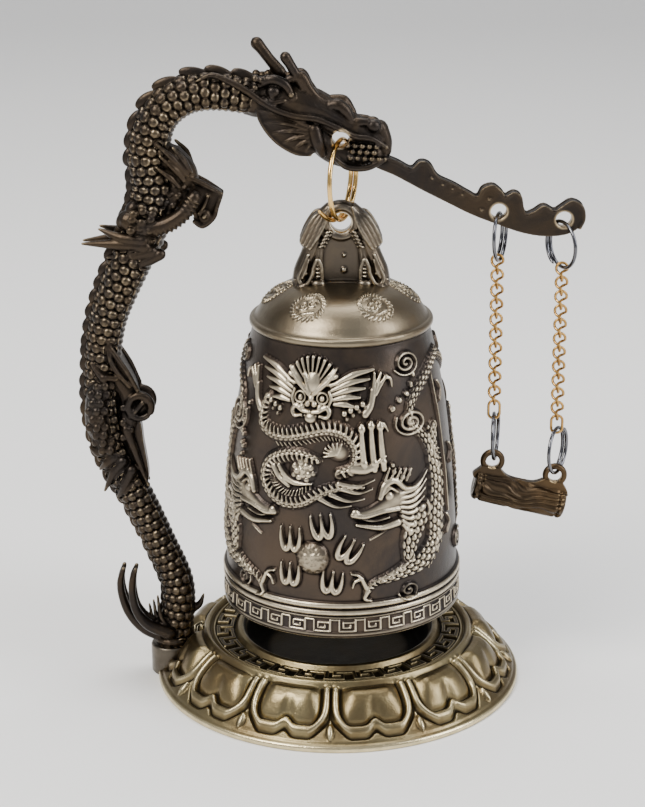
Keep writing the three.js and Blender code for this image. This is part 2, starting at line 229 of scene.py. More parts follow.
def scutes(pitch, share=0.5, slant=0.6):
    # ladder of belly plates on one side of a body and overlapping scales on the other
    def pattern(length, across):
        ribs = 0.5 + 0.5 * np.cos(2 * math.pi * (length + slant * across) / pitch)
        row = np.floor(across * 2.5)
        cell = (length / pitch + 0.5 * (row % 2)) % 1.0
        middle = across * 2.5 - row - 0.5
        scale = np.clip(1 - (middle * 1.5) ** 2 - (cell - 0.45) ** 2 * 2.2, 0, 1)
        return np.where(across > 1 - 2 * share, 0.28 + 0.72 * ribs, 0.22 + 0.78 * np.sqrt(scale))
    return pattern


def scaly(pitch):
    def pattern(length, across):
        row = np.floor(across * 2)
        cell = (length / pitch + 0.5 * (row % 2)) % 1.0
        middle = across * 2 - row - 0.5
        return 0.2 + 0.85 * np.sqrt(np.clip(1 - (middle * 1.75) ** 2 - ((cell - 0.5) * 1.85) ** 2, 0, 1))
    return pattern


def fringe(sheet, points, side, reach, pitch, height, width=0.32):
    # short teeth that lean back along one side of a curve
    path = catmull(points, 10)
    total = lengthsAlong(path)
    for place in np.arange(pitch / 2, total[-1], pitch):
        here = np.array([np.interp(place, total, path[:, k]) for k in range(2)])
        ahead = np.array([np.interp(min(place + 0.2, total[-1]), total, path[:, k]) for k in range(2)])
        tangent = (ahead - here) / (np.linalg.norm(ahead - here) + 1e-9)
        normal = np.array([-tangent[1], tangent[0]]) * side
        root = here + normal * reach[0]
        tip = here + normal * reach[1] + tangent * pitch * 0.5
        stroke(sheet, [root, tip], [width, width * 0.5], [height, height * 0.6])


# how proud each vertex stands of its smoothed surroundings, for rubbed highlights and dark recesses

def markProud(obj, near=4, far=24):
    points, edges = meshArrays(obj.data)
    normals = meshNormals(obj.data)
    degree = vertexDegree(edges, len(points))
    soft = points.copy()
    marks = {}
    for i in range(1, far + 1):
        soft = 0.4 * soft + 0.6 * neighbourSum(soft, edges) / degree
        if i in (near, far):
            marks[i] = ((points - soft) * normals).sum(1)
    markValue(obj, "edge", marks[near])
    markValue(obj, "proud", marks[far])


def markValue(obj, name, values):
    layer = obj.data.attributes.new(name, "FLOAT", "POINT")
    layer.data.foreach_set("value", np.asarray(values, np.float32))


# bell

bellLook = {
    "columns": 960,          # vertices round the bell
    "wallRows": 330,
    "groundDrop": 0.75,      # how far the plain ground lies inside the height of the relief
    "reliefHeight": 1.15, "wallFoot": 23.3, "wallHead": 95.9,
    "pearlAt": (-7.3, 43.9), "pearlRadius": 4.1, "pearlPits": 90,
}
reliefRadius = 29.0          # the relief sheet is laid out at this radius


def centralDragon(sheet, tall):
    # body in two bends, with a ladder of plates and a toothed fin
    upper = [(-22.5, 82.5), (-23.6, 79), (-23, 75.6), (-19, 74.2), (-14, 74.6), (-9, 76), (-4, 77), (0.5, 76),
             (3.4, 73), (3.8, 69.5), (2.4, 66.8), (-0.8, 65.8)]
    lower = [(-6.5, 68.8), (-11, 69.8), (-16, 69), (-20, 66.6), (-21.2, 62.8), (-19, 59.4), (-15, 57.6),
             (-10.4, 58.2), (-6.6, 60.4), (-3, 62), (1, 62.6), (5, 62.4)]
    stroke(sheet, upper, [1.7, 2.0, 2.1, 2.2, 2.2, 2.0, 1.6], tall, scutes(1.45), flat=0.15)
    fringe(sheet, upper[3:10], -1, (2.0, 3.1), 1.25, tall * 0.7)
    stroke(sheet, lower, [1.5, 2.0, 2.1, 2.0, 1.8, 1.5, 0.7], tall, scutes(1.4), flat=0.15)
    fringe(sheet, lower[3:9], 1, (1.8, 3.0), 1.2, tall * 0.7)
    bump(sheet, (-10.2, 66.2), 3.9, tall * 0.8, 0.95)
    for i in range(14):       # scales on the haunch
        a = i * 2.4
        bump(sheet, (-10.2 + 0.85 * math.sqrt(i) * math.cos(a), 66.2 + 0.85 * math.sqrt(i) * math.sin(a)),
             0.72, tall * 0.34, add=True)
    bump(sheet, (-0.8, 71.2), 2.9, tall * 0.85, 0.9)
    for i in range(7):        # hair on the thigh
        a = -0.2 + 0.36 * i
        stroke(sheet, [(-1.5, 70.6), (-1.5 - 3.4 * math.cos(a), 70.6 + 2.9 * math.sin(a))],
               [0.5, 0.25], tall * 1.05)
    # hind foot with long talons
    stroke(sheet, [(2.6, 67), (5.6, 66.6), (8.6, 67.4)], [1.5, 1.4, 1.0], tall)
    for x, top in ((5.0, 77.6), (7.6, 78.2), (10.1, 77.8)):
        stroke(sheet, [(x + 0.6, 66.4), (x + 0.2, 71), (x, top - 2.6), (x + 0.1, top)],
               [1.0, 1.1, 0.95, 0.7], tall)
        bump(sheet, (x + 0.05, top - 0.9), 1.25, tall * 1.15)
        bump(sheet, (x + 0.5, 68.2), 1.2, tall * 1.15)
    stroke(sheet, [(9.6, 76.9), (11, 77.6), (12.2, 75.6)], [0.75, 0.6, 0.25], tall)
    stroke(sheet, [(8.4, 67.6), (10, 69), (11.3, 69.6)], [0.7, 0.5, 0.3], tall)
    # fore claw under the belly
    for k in range(4):
        stroke(sheet, [(-17 + 0.6 * k, 66.6 - k), (-15 + k, 64.4 - 0.6 * k),
                       (-12.6 + 1.6 * k, 62.4 + 0.2 * k)],
               [0.75, 0.6, 0.3], tall * 0.95)
    stroke(sheet, [(-18.6, 66), (-16.6, 63.6), (-13.8, 61.8)], [1.0, 0.9, 0.6], tall)
    # tail flames
    for start, end in (((-1, 63.4), (8.2, 63.8)), ((0, 62), (7.6, 61.6)), ((-3, 60.6), (5.4, 59.2)),
                       ((-5.6, 59.4), (2, 57.6))):
        middle = ((start[0] + end[0]) / 2, (start[1] + end[1]) / 2 - 0.9)
        stroke(sheet, [start, middle, end], [0.8, 0.6, 0.2], [tall, tall * 0.9, tall * 0.5])


def frontFace(sheet, tall):
    # forehead, brows, eyes, nose and jaw of the dragon that looks straight out
    x = -8.7
    for i in range(13):       # mane standing up like a fan
        a = math.radians(8 + 13.7 * i)
        root = (x + 3.4 * math.cos(a), 86.8 + 2.2 * math.sin(a))
        tip = (x + 7.6 * math.cos(a), 87.0 + 6.8 * math.sin(a))
        stroke(sheet, [root, tip], [0.34, 0.5, 0.72], [tall * 0.75, tall * 0.95, tall])
    bump(sheet, (x + 0.3, 87.9), 2.5, tall * 1.2, 1.35)
    stroke(sheet, [(x - 2.2, 89.8), (x - 1.2, 87.2), (x - 0.3, 85.4)], [0.7, 0.75, 0.5], tall * 1.25)
    bump(sheet, (x, 82.6), 4.6, tall * 0.42, 0.8)
    for s in (-1, 1):
        stroke(sheet, [(x + 0.6 * s, 85.0), (x + 2.4 * s, 86.6), (x + 4.6 * s, 88.4), (x + 7.0 * s, 91.2)],
               [0.7, 0.95, 0.85, 0.4], tall * 1.25)
        ring = [(x + 3.2 * s + 1.5 * math.cos(a),
                 84.2 + 1.35 * math.sin(a)) for a in np.linspace(0, 2 * math.pi, 13)]
        stroke(sheet, ring, 0.36, tall * 0.95, perSpan=2)
        bump(sheet, (x + 3.1 * s, 84.1), 0.95, tall * 1.15)
        bump(sheet, (x + 0.95 * s, 82.7), 0.95, tall * 1.3)
        bump(sheet, (x + 2.5 * s, 81.9), 1.0, tall * 1.15)
        stroke(sheet, [(x + 5.0 * s, 85.8), (x + 5.6 * s, 84.2), (x + 5.0 * s, 82.4)],
               [0.5, 0.6, 0.5], tall * 1.1)
        stroke(sheet, [(x + 0.5 * s, 80.8), (x + 2.2 * s, 81.0), (x + 4.2 * s, 82.0),
                       (x + 5.2 * s, 80.9), (x + 4.4 * s, 79.6), (x + 2.6 * s, 79.9)],
               [0.6, 0.8, 0.85, 0.8, 0.65, 0.45], tall * 1.15)
        for k in range(5):    # mane swept out sideways
            root = (x + (5.4 + 0.25 * k) * s, 87.2 - 1.1 * k)
            tip = (x + (18 - 1.5 * k) * s, 91.6 - 2.15 * k - (0.8 if s > 0 else 0))
            bend = ((root[0] + tip[0]) / 2, (root[1] + tip[1]) / 2 + 0.8 - 0.12 * k)
            stroke(sheet, [root, bend, tip], [0.6, 1.0, 0.5], [tall * 0.85, tall * 1.05, tall * 0.85])
        for k in range(4):    # curly beard below the swept mane
            bump(sheet, (x + (9.2 + 1.7 * k) * s, 80.6 + 0.7 * k), 0.95, tall)
            bump(sheet, (x + (9.9 + 1.7 * k) * s, 79.2 + 0.9 * k), 0.7, tall * 0.8)
    bump(sheet, (x, 84.0), 1.05, tall * 1.3)
    bump(sheet, (x, 79.2), 1.9, tall * 1.1, 0.75)
    for k in range(7):        # teeth between the lips
        bump(sheet, (x - 2.4 + 0.8 * k, 80.3 - 0.25 * abs(3 - k)), 0.36, tall * 0.85)


def raisedHand(sheet, at, s, tall):
    # an arm that ends in three fingers and a hooked talon
    x, z = at
    stroke(sheet, [(x - 2.6 * s, z - 5.4), (x - 1 * s, z - 3.4), (x, z)], [1.2, 1.1, 1.2], tall)
    for k, (dx, dz) in enumerate(((0.6, 4.4), (2.6, 4.3), (4.4, 3.4))):
        stroke(sheet, [(x + 0.3 * k * s, z - 0.6), (x + dx * 0.55 * s, z + dz * 0.5), (x + dx * s, z + dz)],
               [0.85, 0.75, 0.4], tall)
    stroke(sheet, [(x + 3.9 * s, z + 3.1), (x + 5.4 * s, z + 2.6), (x + 5.6 * s, z + 0.6)],
           [0.7, 0.6, 0.2], tall)


def flame(sheet, at, turn, size, tall):
    # two deep cups side by side that share their middle prong
    c, s = math.cos(turn), math.sin(turn)

    def place(x, z):
        return (at[0] + size * (c * x - s * z), at[1] + size * (s * x + c * z))
    for side in (-1, 1):
        stroke(sheet, [place(2.5 * side, 3.0), place(2.5 * side, 0.4), place(2.0 * side, -1.9),
                       place(1.1 * side, -2.7),
                       place(0.35 * side, -1.6), place(0.05 * side, 0.4), place(0.1 * side, 3.1)],
               [0.32, 0.6, 0.78, 0.95, 0.7, 0.5, 0.28],
               [tall * 0.9, tall, tall * 1.1, tall * 1.2, tall, tall, tall * 0.7])


def sideDragon(sheet, at, s, tall):
    # a head in profile, its mane, a coiled body and a clawed foreleg; s is 1 when it looks to the left
    x, z = at

    def p(dx, dz):
        return (x + dx * s, z + dz)
    coil = [p(26, 19), p(24.6, 13), p(25.6, 5), p(24.4, -3), p(23.4, -10),
            p(18.6, -14.2), p(13, -15.6), p(7.4, -17)]
    tail = [p(24.8, 12), p(21.6, 17.6), p(17.6, 21.6), p(18.4, 26.6), p(23.4, 30.4), p(29.4, 33.6), p(36, 36)]
    stroke(sheet, tail, [2.4, 1.9, 1.5, 1.8, 2.0, 1.9, 1.2], tall * 0.95, scaly(2.0))
    stroke(sheet, coil, [1.6, 2.6, 3.2, 3.4, 3.2, 3.0, 2.2, 1.2], tall * 1.05, scaly(2.2), flat=0.35)
    stroke(sheet, [p(19.6, -1), p(15.6, -7), p(14.6, -12)], [3.2, 3.4, 2.0],
           tall * 1.05, scaly(2.1), flat=0.35)
    fringe(sheet, coil[1:6], 1 * s, (2.8, 3.9), 1.4, tall * 0.7)
    # head
    stroke(sheet, [p(12.5, 3.6), p(8.6, 2.2), p(4.6, 1.0), p(1.0, 0.4)], [3.0, 2.4, 1.5, 1.15], tall * 0.8)
    stroke(sheet, [p(12, 1.0), p(7.6, 0.9), p(3.2, 0.1), p(0.4, 0.6)], [0.8, 0.8, 0.8, 1.0], tall * 1.15)
    bump(sheet, p(0.9, 1.0), 1.25, tall * 1.15)
    stroke(sheet, [p(11.8, -2.6), p(7.4, -3.2), p(3.0, -2.4), p(1.2, -2.0)], [1.2, 1.0, 0.8, 0.5], tall)
    stroke(sheet, [p(9.5, -0.9), p(5.4, -1.3), p(2.4, -0.6)], [0.35, 0.5, 0.25], tall * 0.7)
    stroke(sheet, [p(7.2, 4.4), p(8.6, 7.4), p(11.4, 8.2), p(14.2, 5.8), p(17.4, 5.6)],
           [0.8, 1.1, 1.0, 0.8, 0.4], tall * 1.15)
    bump(sheet, p(9.6, 4.6), 1.35, tall * 1.1)
    stroke(sheet, [p(8.0, 5.4), p(9.8, 6.6), p(11.8, 5.4)], [0.45, 0.5, 0.4], tall * 1.2)
    for k in range(5):        # spikes along the brow
        stroke(sheet, [p(8.6 + 1.5 * k, 8.6 - 0.2 * k), p(10 + 1.6 * k, 11.6 - 0.3 * k)],
               [0.55, 0.25], tall * 0.9)
    for k in range(8):        # mane swept back
        root = p(12.4 + 0.1 * k, 4.6 - 1.15 * k)
        tip = p(22 - 0.55 * k, 8.6 - 2.1 * k)
        stroke(sheet, [root, p(17 - 0.3 * k, 5.2 - 1.5 * k), tip], [0.6, 0.75, 0.25],
               [tall * 0.9, tall * 1.05, tall * 0.6])
    stroke(sheet, [p(4.4, -6.2), p(8, -4.4), p(10.6, -2.8)], [0.2, 0.4, 0.5], tall * 0.6)
    # foreleg and claw
    stroke(sheet, [p(13, -14.6), p(8.8, -16.4), p(5.4, -17.6), p(3.6, -19.6)],
           [1.6, 1.4, 1.2, 1.0], tall, scutes(1.2))
    stroke(sheet, [p(3.4, -18.6), p(1.8, -15.4), p(-0.2, -14.6)], [0.8, 0.6, 0.3], tall)
    stroke(sheet, [p(2.4, -16), p(0.6, -16.8), p(0.1, -18.4)], [0.6, 0.5, 0.2], tall)
    stroke(sheet, [p(3.8, -19.4), p(3.0, -21.4), p(4.6, -22)], [0.8, 0.6, 0.3], tall)


def keyBand(sheet, low, high, count, tall):
    # a square key repeated round the lip
    unit = sheet["period"] / count
    height = high - low
    gate = [(0.0, 0.04), (0.0, 1), (0.36, 1), (0.36, 0.04)]
    square = [(0.36, 0.04), (0.98, 0.04), (0.98, 0.78), (0.52, 0.78), (0.52, 0.34), (0.8, 0.34), (0.8, 0.54)]
    for k in range(count):
        x = sheet["u"][0] + k * unit
        for outline in (gate, square):
            for (a, b), (c, d) in zip(outline, outline[1:]):
                stroke(sheet, [(x + a * unit, low + b * height), (x + c * unit, low + d * height)],
                       0.26, tall, flat=0.3)


def wallHeights():
    # rows up the wall, closer together over the key band
    look = bellLook
    return np.concatenate([np.arange(look["wallFoot"], 28.9, 0.14),
                           np.linspace(28.95, look["wallHead"], look["wallRows"])])


def paintBellWall():
    look = bellLook
    half = math.pi * reliefRadius / 2
    sheet = newSheet(-half, half, wallHeights(), look["columns"] // 2)
    tall = look["reliefHeight"]
    sideDragon(sheet, (2.2, 54.8), 1, tall)
    sideDragon(sheet, (-17.4, 53.8), -1, tall)
    centralDragon(sheet, tall)
    frontFace(sheet, tall)
    raisedHand(sheet, (8.8, 85.6), 1, tall)
    raisedHand(sheet, (-27.6, 84.6), -1, tall)
    pearlX, pearlZ = look["pearlAt"]
    bump(sheet, look["pearlAt"], look["pearlRadius"], 2.1, 1.06)
    for _ in range(look["pearlPits"]):
        a, q = rng.uniform(0, 2 * math.pi), 3.8 * math.sqrt(rng.uniform(0, 1))
        at = (pearlX + q * math.cos(a), pearlZ + q * math.sin(a))
        bump(sheet, at, rng.uniform(0.3, 0.6), -0.13, add=True)
    for at, turn in (((-13.0, 48.2), 0.05), ((-5.0, 52.2), 0.16), ((1.4, 46.2), -0.5), ((-13, 39.0), 0.0),
                     ((-2.6, 37.8), -0.12)):
        flame(sheet, at, turn, 1.0 if at[1] > 40 else 0.92, tall * 0.9)
    curl(sheet, (20.6, 91), 5.0, 2.2, 0.55, tall * 0.8, 3.6, 0.62)
    curl(sheet, (19.8, 76.6), 5.4, 2.4, 0.62, tall * 0.85, 2.6, 0.62)
    curl(sheet, (16.8, 33.8), 3.0, 1.7, 0.5, tall * 0.7, 3.4, 0.8)
    curl(sheet, (-36, 75.6), 5.6, 2.4, 0.62, tall * 0.85, 0.4, 0.85, -1)
    curl(sheet, (-27.5, 34.4), 2.6, 1.6, 0.5, tall * 0.7, 0.4, 0.9, -1)
    curl(sheet, (40, 40), 3.6, 2.0, 0.55, tall * 0.8, 0.4, 0.8)
    curl(sheet, (-40, 90), 3.8, 2.0, 0.55, tall * 0.8, 2.0, 0.7)
    for x, z in ((34, 79), (31.5, 45), (-33, 58), (37, 62)):
        stroke(sheet, [(x, z), (x + 1.6, z + 2.2), (x + 0.4, z + 4.6)], [0.9, 0.7, 0.2], tall * 0.8)
    for string in ([(13.6, 80.2), (16.6, 82.6), (20.2, 84.4), (22.2, 87.6)],
                   [(25.4, 73.6), (27.6, 68.4), (28.6, 62)],
                   [(12.8, 66.6), (15, 64.4), (17.6, 63.4)], [(25.8, 41.6), (28.2, 47), (29.4, 53)],
                   [(-30.6, 79), (-32, 73), (-31.4, 66)], [(-36.4, 50), (-37, 43), (-34.8, 37)]):
        line = catmull(string, 6)
        total = lengthsAlong(line)
        for k, place in enumerate(np.arange(0, total[-1], 1.45)):
            at = np.array([np.interp(place, total, line[:, i]) for i in range(2)]) + 0.35 * (-1) ** k
            bump(sheet, at, 0.78 + 0.22 * math.sin(2.7 * k), tall * 0.95)
    stroke(sheet, [(31, 87), (32.2, 70), (33, 50)], [0.3, 0.36, 0.3], tall * 0.7)
    keyBand(sheet, 24.7, 27.8, 15, 0.5)
    return sheet


def paintDome(arc, cols):
    # six round medallions with a rope border, each holding a plain scroll
    sheet = newSheet(0, 2 * math.pi * 17.5, np.linspace(0, arc, 120), cols)
    step = sheet["period"] / 6
    for k in range(6):
        x = step * k
        middle = arc * 0.54
        for i in range(26):   # rope border
            a = 2 * math.pi * i / 26
            c, s = math.cos(a), math.sin(a)
            stroke(sheet, [(x + 3.9 * c - 0.3 * s, middle + 3.9 * s + 0.3 * c),
                           (x + 4.7 * c + 0.25 * s, middle + 4.7 * s - 0.25 * c)], 0.3, 0.42)
        for spin, a in ((1, 0.4), (1, 3.5)):
            curl(sheet, (x + 1.2 * math.cos(a), middle + 1.2 * math.sin(a)),
                 1.9, 1.5, 0.28, 0.4, a, 0.9, spin)
        for a in (1.9, 5.0):
            stroke(sheet, [(x + 3.2 * math.cos(a - 0.5), middle + 3.2 * math.sin(a - 0.5)),
                           (x + 2.7 * math.cos(a), middle + 2.7 * math.sin(a)),
                           (x + 3.2 * math.cos(a + 0.5), middle + 3.2 * math.sin(a + 0.5))], 0.28, 0.4)
    return sheet


def makeBell():
    look = bellLook
    cols = look["columns"]
    # ground profile of the wall, with two ridges near the lip and the ring at the shoulder
    wallZ = wallHeights()
    ground = np.interp(wallZ, [23.3, 24.2, 28.6, 32.8, 44, 60, 76, 88, 94.6, 95.9],
                       [30.5, 30.35, 30.05, 29.85, 29.45, 28.3, 26.4, 24.1, 22.5, 22.2])
    kernel = np.hanning(25)
    kernel /= kernel.sum()
    padded = np.pad(ground, 12, mode="edge")
    ground = np.where(wallZ > 33, np.convolve(padded, kernel, "valid"), ground)
    ridges = np.zeros(len(wallZ))
    for z, width, height in ((31.6, 0.95, 0.95), (29.7, 0.85, 0.85), (23.9, 0.6, 0.3), (28.4, 0.3, 0.4)):
        ridge = np.sqrt(np.clip(1 - ((wallZ - z) / width) ** 2, 0, 1))
        ground = ground + height * ridge
        ridges = np.maximum(ridges, ridge * (0.7 + 0.5 * height))
    sheet = paintBellWall()
    relief = np.concatenate([sheet["h"], sheet["h"]], 1)
    # the sheet's left edge lies a quarter turn left of the front; the lathe starts at +X
    start = cols // 2
    relief = np.roll(relief, start, axis=1)
    dome = [(22.2, 95.9), (22.6, 96.1), (23.0, 96.6), (23.1, 97.2), (22.9, 97.8),
            (22.4, 98.1), (21.9, 98.2), (21.3, 98.9), (20.2, 100.7), (18.4, 102.7),
            (15.8, 104.6), (12.4, 105.9), (7, 106.7), (0.0, 107.0)]
    domePath = catmull(dome, 10)
    domeArc = lengthsAlong(domePath)
    domeRows = 110
    place = np.linspace(0, domeArc[-1], domeRows)
    domeR = np.interp(place, domeArc, domePath[:, 0])
    domeZ = np.interp(place, domeArc, domePath[:, 1])
    shoulder = 4.2            # length of the ring before the dome proper begins
    domeSheet = paintDome(domeArc[-1] - 10 - shoulder, cols)
    turnBy = int(round(cols * (1 / 12 + 0.25))) % cols
    medallions = np.roll(domeSheet["h"], -turnBy, axis=1)
    domeLift = np.zeros((domeRows, cols))
    rowAt = (place - shoulder) / (domeArc[-1] - 10 - shoulder)
    for i in range(domeRows):
        if 0 <= rowAt[i] <= 1:
            domeLift[i] = medallions[min(int(rowAt[i] * (len(medallions) - 1)), len(medallions) - 1)]
    domeNormalR = -np.gradient(domeZ)
    domeNormalZ = np.gradient(domeR)
    size = np.hypot(domeNormalR, domeNormalZ) + 1e-9
    domeNormalR, domeNormalZ = -domeNormalR / size, -domeNormalZ / size
    # inside: up from the lip to a plain rounded top
    inner = catmull([(28.6, 23.3), (28.0, 24.6), (27.6, 36), (26.9, 50), (25.5, 66), (23.2, 80), (20.8, 88.6),
                     (16.5, 92.6), (9, 93.8), (0.0, 94.0)], 8)
    lip = np.array([(30.6, 23.05), (30.0, 22.95), (29.2, 22.98)])
    order = np.vstack([np.stack([domeR, domeZ], -1)[::-1],
                       np.stack([ground, wallZ], -1)[::-1][1:], lip, inner])
    order[0, 0] = 0
    rows = len(order)
    liftR = np.zeros((rows, cols))
    liftZ = np.zeros((rows, cols))
    liftR[:domeRows] = (domeLift * domeNormalR[:, None])[::-1]
    liftZ[:domeRows] = (domeLift * domeNormalZ[:, None])[::-1]
    liftR[domeRows:domeRows + len(wallZ) - 1] = relief[::-1][1:]
    points, quads, tris = turnedSurface(bellX, order[:, 0], order[:, 1], cols, (liftR, liftZ))
    height = np.zeros((rows, cols))
    height[:domeRows] = domeLift[::-1]
    inPearl = np.hypot(sheet["u"][None, :] - look["pearlAt"][0],
                       sheet["v"][:, None] - look["pearlAt"][1]) < 4.15
    inPearl = np.roll(np.concatenate([inPearl, inPearl], 1), start, axis=1)
    shown = np.where(inPearl, 0.62 + 0.15 * relief, relief)
    shown = np.maximum(shown * np.where(wallZ < 28.2, 2.4, 1.0)[:, None], ridges[:, None])
    height[domeRows:domeRows + len(wallZ) - 1] = shown[::-1][1:]
    bell = buildMesh("bellBody", points, quads, tris)
    markProud(bell)
    markValue(bell, "relief", np.concatenate([height[1:-1].ravel(), [0, 0]]))
    return bell


# base

baseLook = {
    "columns": 1000, "petals": 12, "bulge": 1.75, "border": 1.0,
    "lineAt": -93.0,         # direction of one of the lines between petals, in degrees
    "seatShift": 0.9, "seatRadius": 5.9, "seatTop": 7.98,   # where the dragon's foot stands
}


def smoothStep(x, low, high):
    t = np.clip((x - low) / (high - low), 0, 1)
    return t * t * (3 - 2 * t)


def petalSheet(radius, angle):
    # height over the plain cone: a pillowed field inside a rolled border that ends in two lobes
    look = baseLook
    pitch = 2 * math.pi / look["petals"]
    turn = (angle - math.radians(look["lineAt"])) / pitch
    across = (turn - np.floor(turn) - 0.5) * 2      # -1 to 1 from one line to the next
    x = np.abs(across) * pitch / 2 * radius         # millimetres from the middle of the petal
    sideGap = (1 - np.abs(across)) * pitch / 2 * radius - 0.5
    lobe = 44.5 - 1.25 * np.exp(-((x / 1.6) ** 2)) - 2.9 * smoothStep(x, 6.2, 11.4)
    endGap = lobe - radius
    soft = 1.1              # rounds the corner where the side meets the lobe
    gap = -soft * np.log(np.exp(-sideGap / soft) + np.exp(-endGap / soft))
    border = look["border"] * np.sqrt(np.clip(1 - ((gap - 0.55) / 0.85) ** 2, 0, 1))
    groove = -0.5 * np.exp(-((gap - 1.85) / 0.38) ** 2) - 0.6 * np.exp(-((gap + 0.75) / 0.4) ** 2)
    pillow = smoothStep(gap, 1.7, 5.2) ** 0.7 * smoothStep(radius, 34.6, 38.4) ** 0.6
    tearWidth = 0.95 * np.clip(1.25 - np.abs(radius - 44.3) / 2.2, 0.01, 1)
    away = (1 - np.abs(across)) * pitch / 2 * radius
    tear = 1.1 * np.sqrt(np.clip(1 - (away / tearWidth) ** 2 - ((radius - 44.3) / 1.7) ** 2, 0, 1))
    fade = smoothStep(radius, 35.1, 35.8) * (1 - smoothStep(radius, 45.9, 46.6))
    return fade * (np.maximum(border, look["bulge"] * pillow) + groove + 0.35 + tear)


def dishKeys(radius, angle):
    # a meander of raised bars in the band between the two rings
    cell = (angle / (2 * math.pi) * 26) % 1.0
    r = (radius - 27.5) / (32.0 - 27.5)
    key = np.zeros(np.broadcast(cell, r).shape, bool)
    for left, right, low, high in ((0.0, 0.7, 0.78, 1.0), (0.0, 0.14, 0.0, 1.0), (0.56, 0.7, 0.3, 1.0),
                                   (0.28, 0.7, 0.3, 0.52), (0.28, 0.42, 0.0, 0.4), (0.28, 1.0, 0.0, 0.2)):
        key |= (cell >= left) & (cell <= right) & (r >= low) & (r <= high)
    return 0.75 * key


def makeBase():
    look = baseLook
    cols = look["columns"]
    radii = np.concatenate([np.linspace(0.0, 24.2, 26), np.arange(24.35, 36, 0.14), np.arange(36, 46.6, 0.15),
                            np.linspace(46.6, 47.3, 5)])
    top = np.interp(radii, [0, 21.5, 22.6, 24.2, 24.8, 25.4, 26.2, 26.7, 27.1, 32.1, 32.4, 32.7, 33.1, 33.5,
                            33.8, 34.3, 34.8, 35.2, 35.5, 37, 39, 41, 43, 45, 46, 46.9, 47.3],
                    [6.3, 6.8, 8.2, 12.2, 13.1, 13.4, 13.1, 12.3, 11.7, 11.7, 12.5, 12.5, 12.0, 12.0, 12.9,
                     13.25, 13.1, 12.4, 11.2, 10.3, 8.6, 6.6, 4.6, 2.8, 2.1, 1.7, 1.4])
    angle = np.linspace(0, 2 * math.pi, cols, endpoint=False)[None, :]
    petals = petalSheet(radii[:, None], angle)
    under = np.array([(47.5, 1.0), (47.5, 0.35), (47.3, 0.0), (44.9, 0.0), (44.2, 0.5), (37.6, 6.6),
                      (33.4, 9.8), (24.6, 9.8), (22.8, 4.4), (0, 3.9)])
    allR = np.concatenate([radii, under[:, 0]])
    allZ = np.concatenate([top, under[:, 1]])
    rows = len(allR)
    liftZ = np.zeros((rows, cols))
    liftZ[:len(radii)] = petals + dishKeys(radii[:, None], angle)
    liftR = np.zeros((rows, cols))
    liftR[:len(radii)] = petals * 0.35
    points, quads, tris = turnedSurface(axisX, allR, allZ, cols, (liftR, liftZ))
    # the seat under the dragon's foot is cut level with the boss
    bossX = boxOf("base")[0][0] + 5.4
    inSeat = np.hypot(points[:, 0] - bossX - look["seatShift"], points[:, 1]) < look["seatRadius"]
    points[inSeat, 2] = np.minimum(points[inSeat, 2], look["seatTop"])
    base = buildMesh("lotusBase", points, quads, tris)
    markProud(base)
    markValue(base, "relief", np.concatenate([liftZ[1:-1].ravel(), [0, 0]]))
    profile = np.array([(0, 8.0), (3.0, 8.0), (4.9, 7.98), (5.25, 7.85), (5.4, 7.5),
                        (5.4, 0.4), (5.2, 0.02), (0, 0.02)])
    return base, buildMesh("rimBoss", *turnedSurface(bossX, profile[:, 0], profile[:, 1], 96))


# bodies made of many joined bars and lumps, fused into one skin

def newHeap():
    return {"points": [], "quads": [], "tris": [], "count": 0}


def heapAdd(heap, points, quads, tris):
    heap["points"].append(np.asarray(points, float))
    heap["quads"].append(np.asarray(quads).reshape(-1, 4) + heap["count"])
    heap["tris"].append(np.asarray(tris).reshape(-1, 3) + heap["count"])
    heap["count"] += len(points)


def bar(heap, points, radii, flat=1.0, sides=14, perSpan=6, mirror=False):
    # a tapered bar with round ends through (x from the axis, y, z) points
    path = catmull(points, perSpan) if len(points) > 2 else np.linspace(points[0], points[-1], 6)
    n = len(path)
    widths = np.interp(np.linspace(0, 1, n), np.linspace(0, 1, len(radii)), radii)
    for end, step in ((0, 1), (-1, -1)):
        out = path[end] - path[end + step]
        out = out / (np.linalg.norm(out) + 1e-9)
        cap = [path[end] + out * widths[end] * math.sin(t) for t in (0.5, 0.95, 1.35)]
        capWidths = [widths[end] * math.cos(t) for t in (0.5, 0.95, 1.35)]
        path = np.vstack([cap[::-1], path]) if end == 0 else np.vstack([path, cap])
        widths = np.concatenate([capWidths[::-1],
                                 widths]) if end == 0 else np.concatenate([widths, capWidths])
    for side in (1, -1) if mirror else (1,):
        moved = path * [1, side, 1] + [axisX, 0, 0]
        heapAdd(heap, *closedTube(moved, list(widths), sides, flat))


def lump(heap, at, size, lean=0.0, mirror=False):
    # an ellipsoid; lean turns it about the depth direction
    n, m = 18, 12
    a = np.linspace(0, 2 * math.pi, n, endpoint=False)
    b = np.linspace(0, math.pi, m)[1:-1]
    ring = np.stack([np.outer(np.sin(b), np.cos(a)), np.outer(np.sin(b), np.sin(a)),
                     np.outer(np.cos(b), np.ones(n))], -1).reshape(-1, 3)
    unit = np.vstack([ring, [[0, 0, 1]], [[0, 0, -1]]])
    c, s = math.cos(lean), math.sin(lean)
    tris = np.vstack([fan(len(ring), 0, n), fan(len(ring) + 1, (m - 3) * n, n, True)])
    for side in (1, -1) if mirror else (1,):
        p = unit * size
        p = np.stack([c * p[:, 0] + s * p[:, 2], p[:, 1], c * p[:, 2] - s * p[:, 0]], -1)
        heapAdd(heap, p + [axisX + at[0], at[1] * side, at[2]], gridQuads(m - 2, n, True)[:, ::-1], tris)


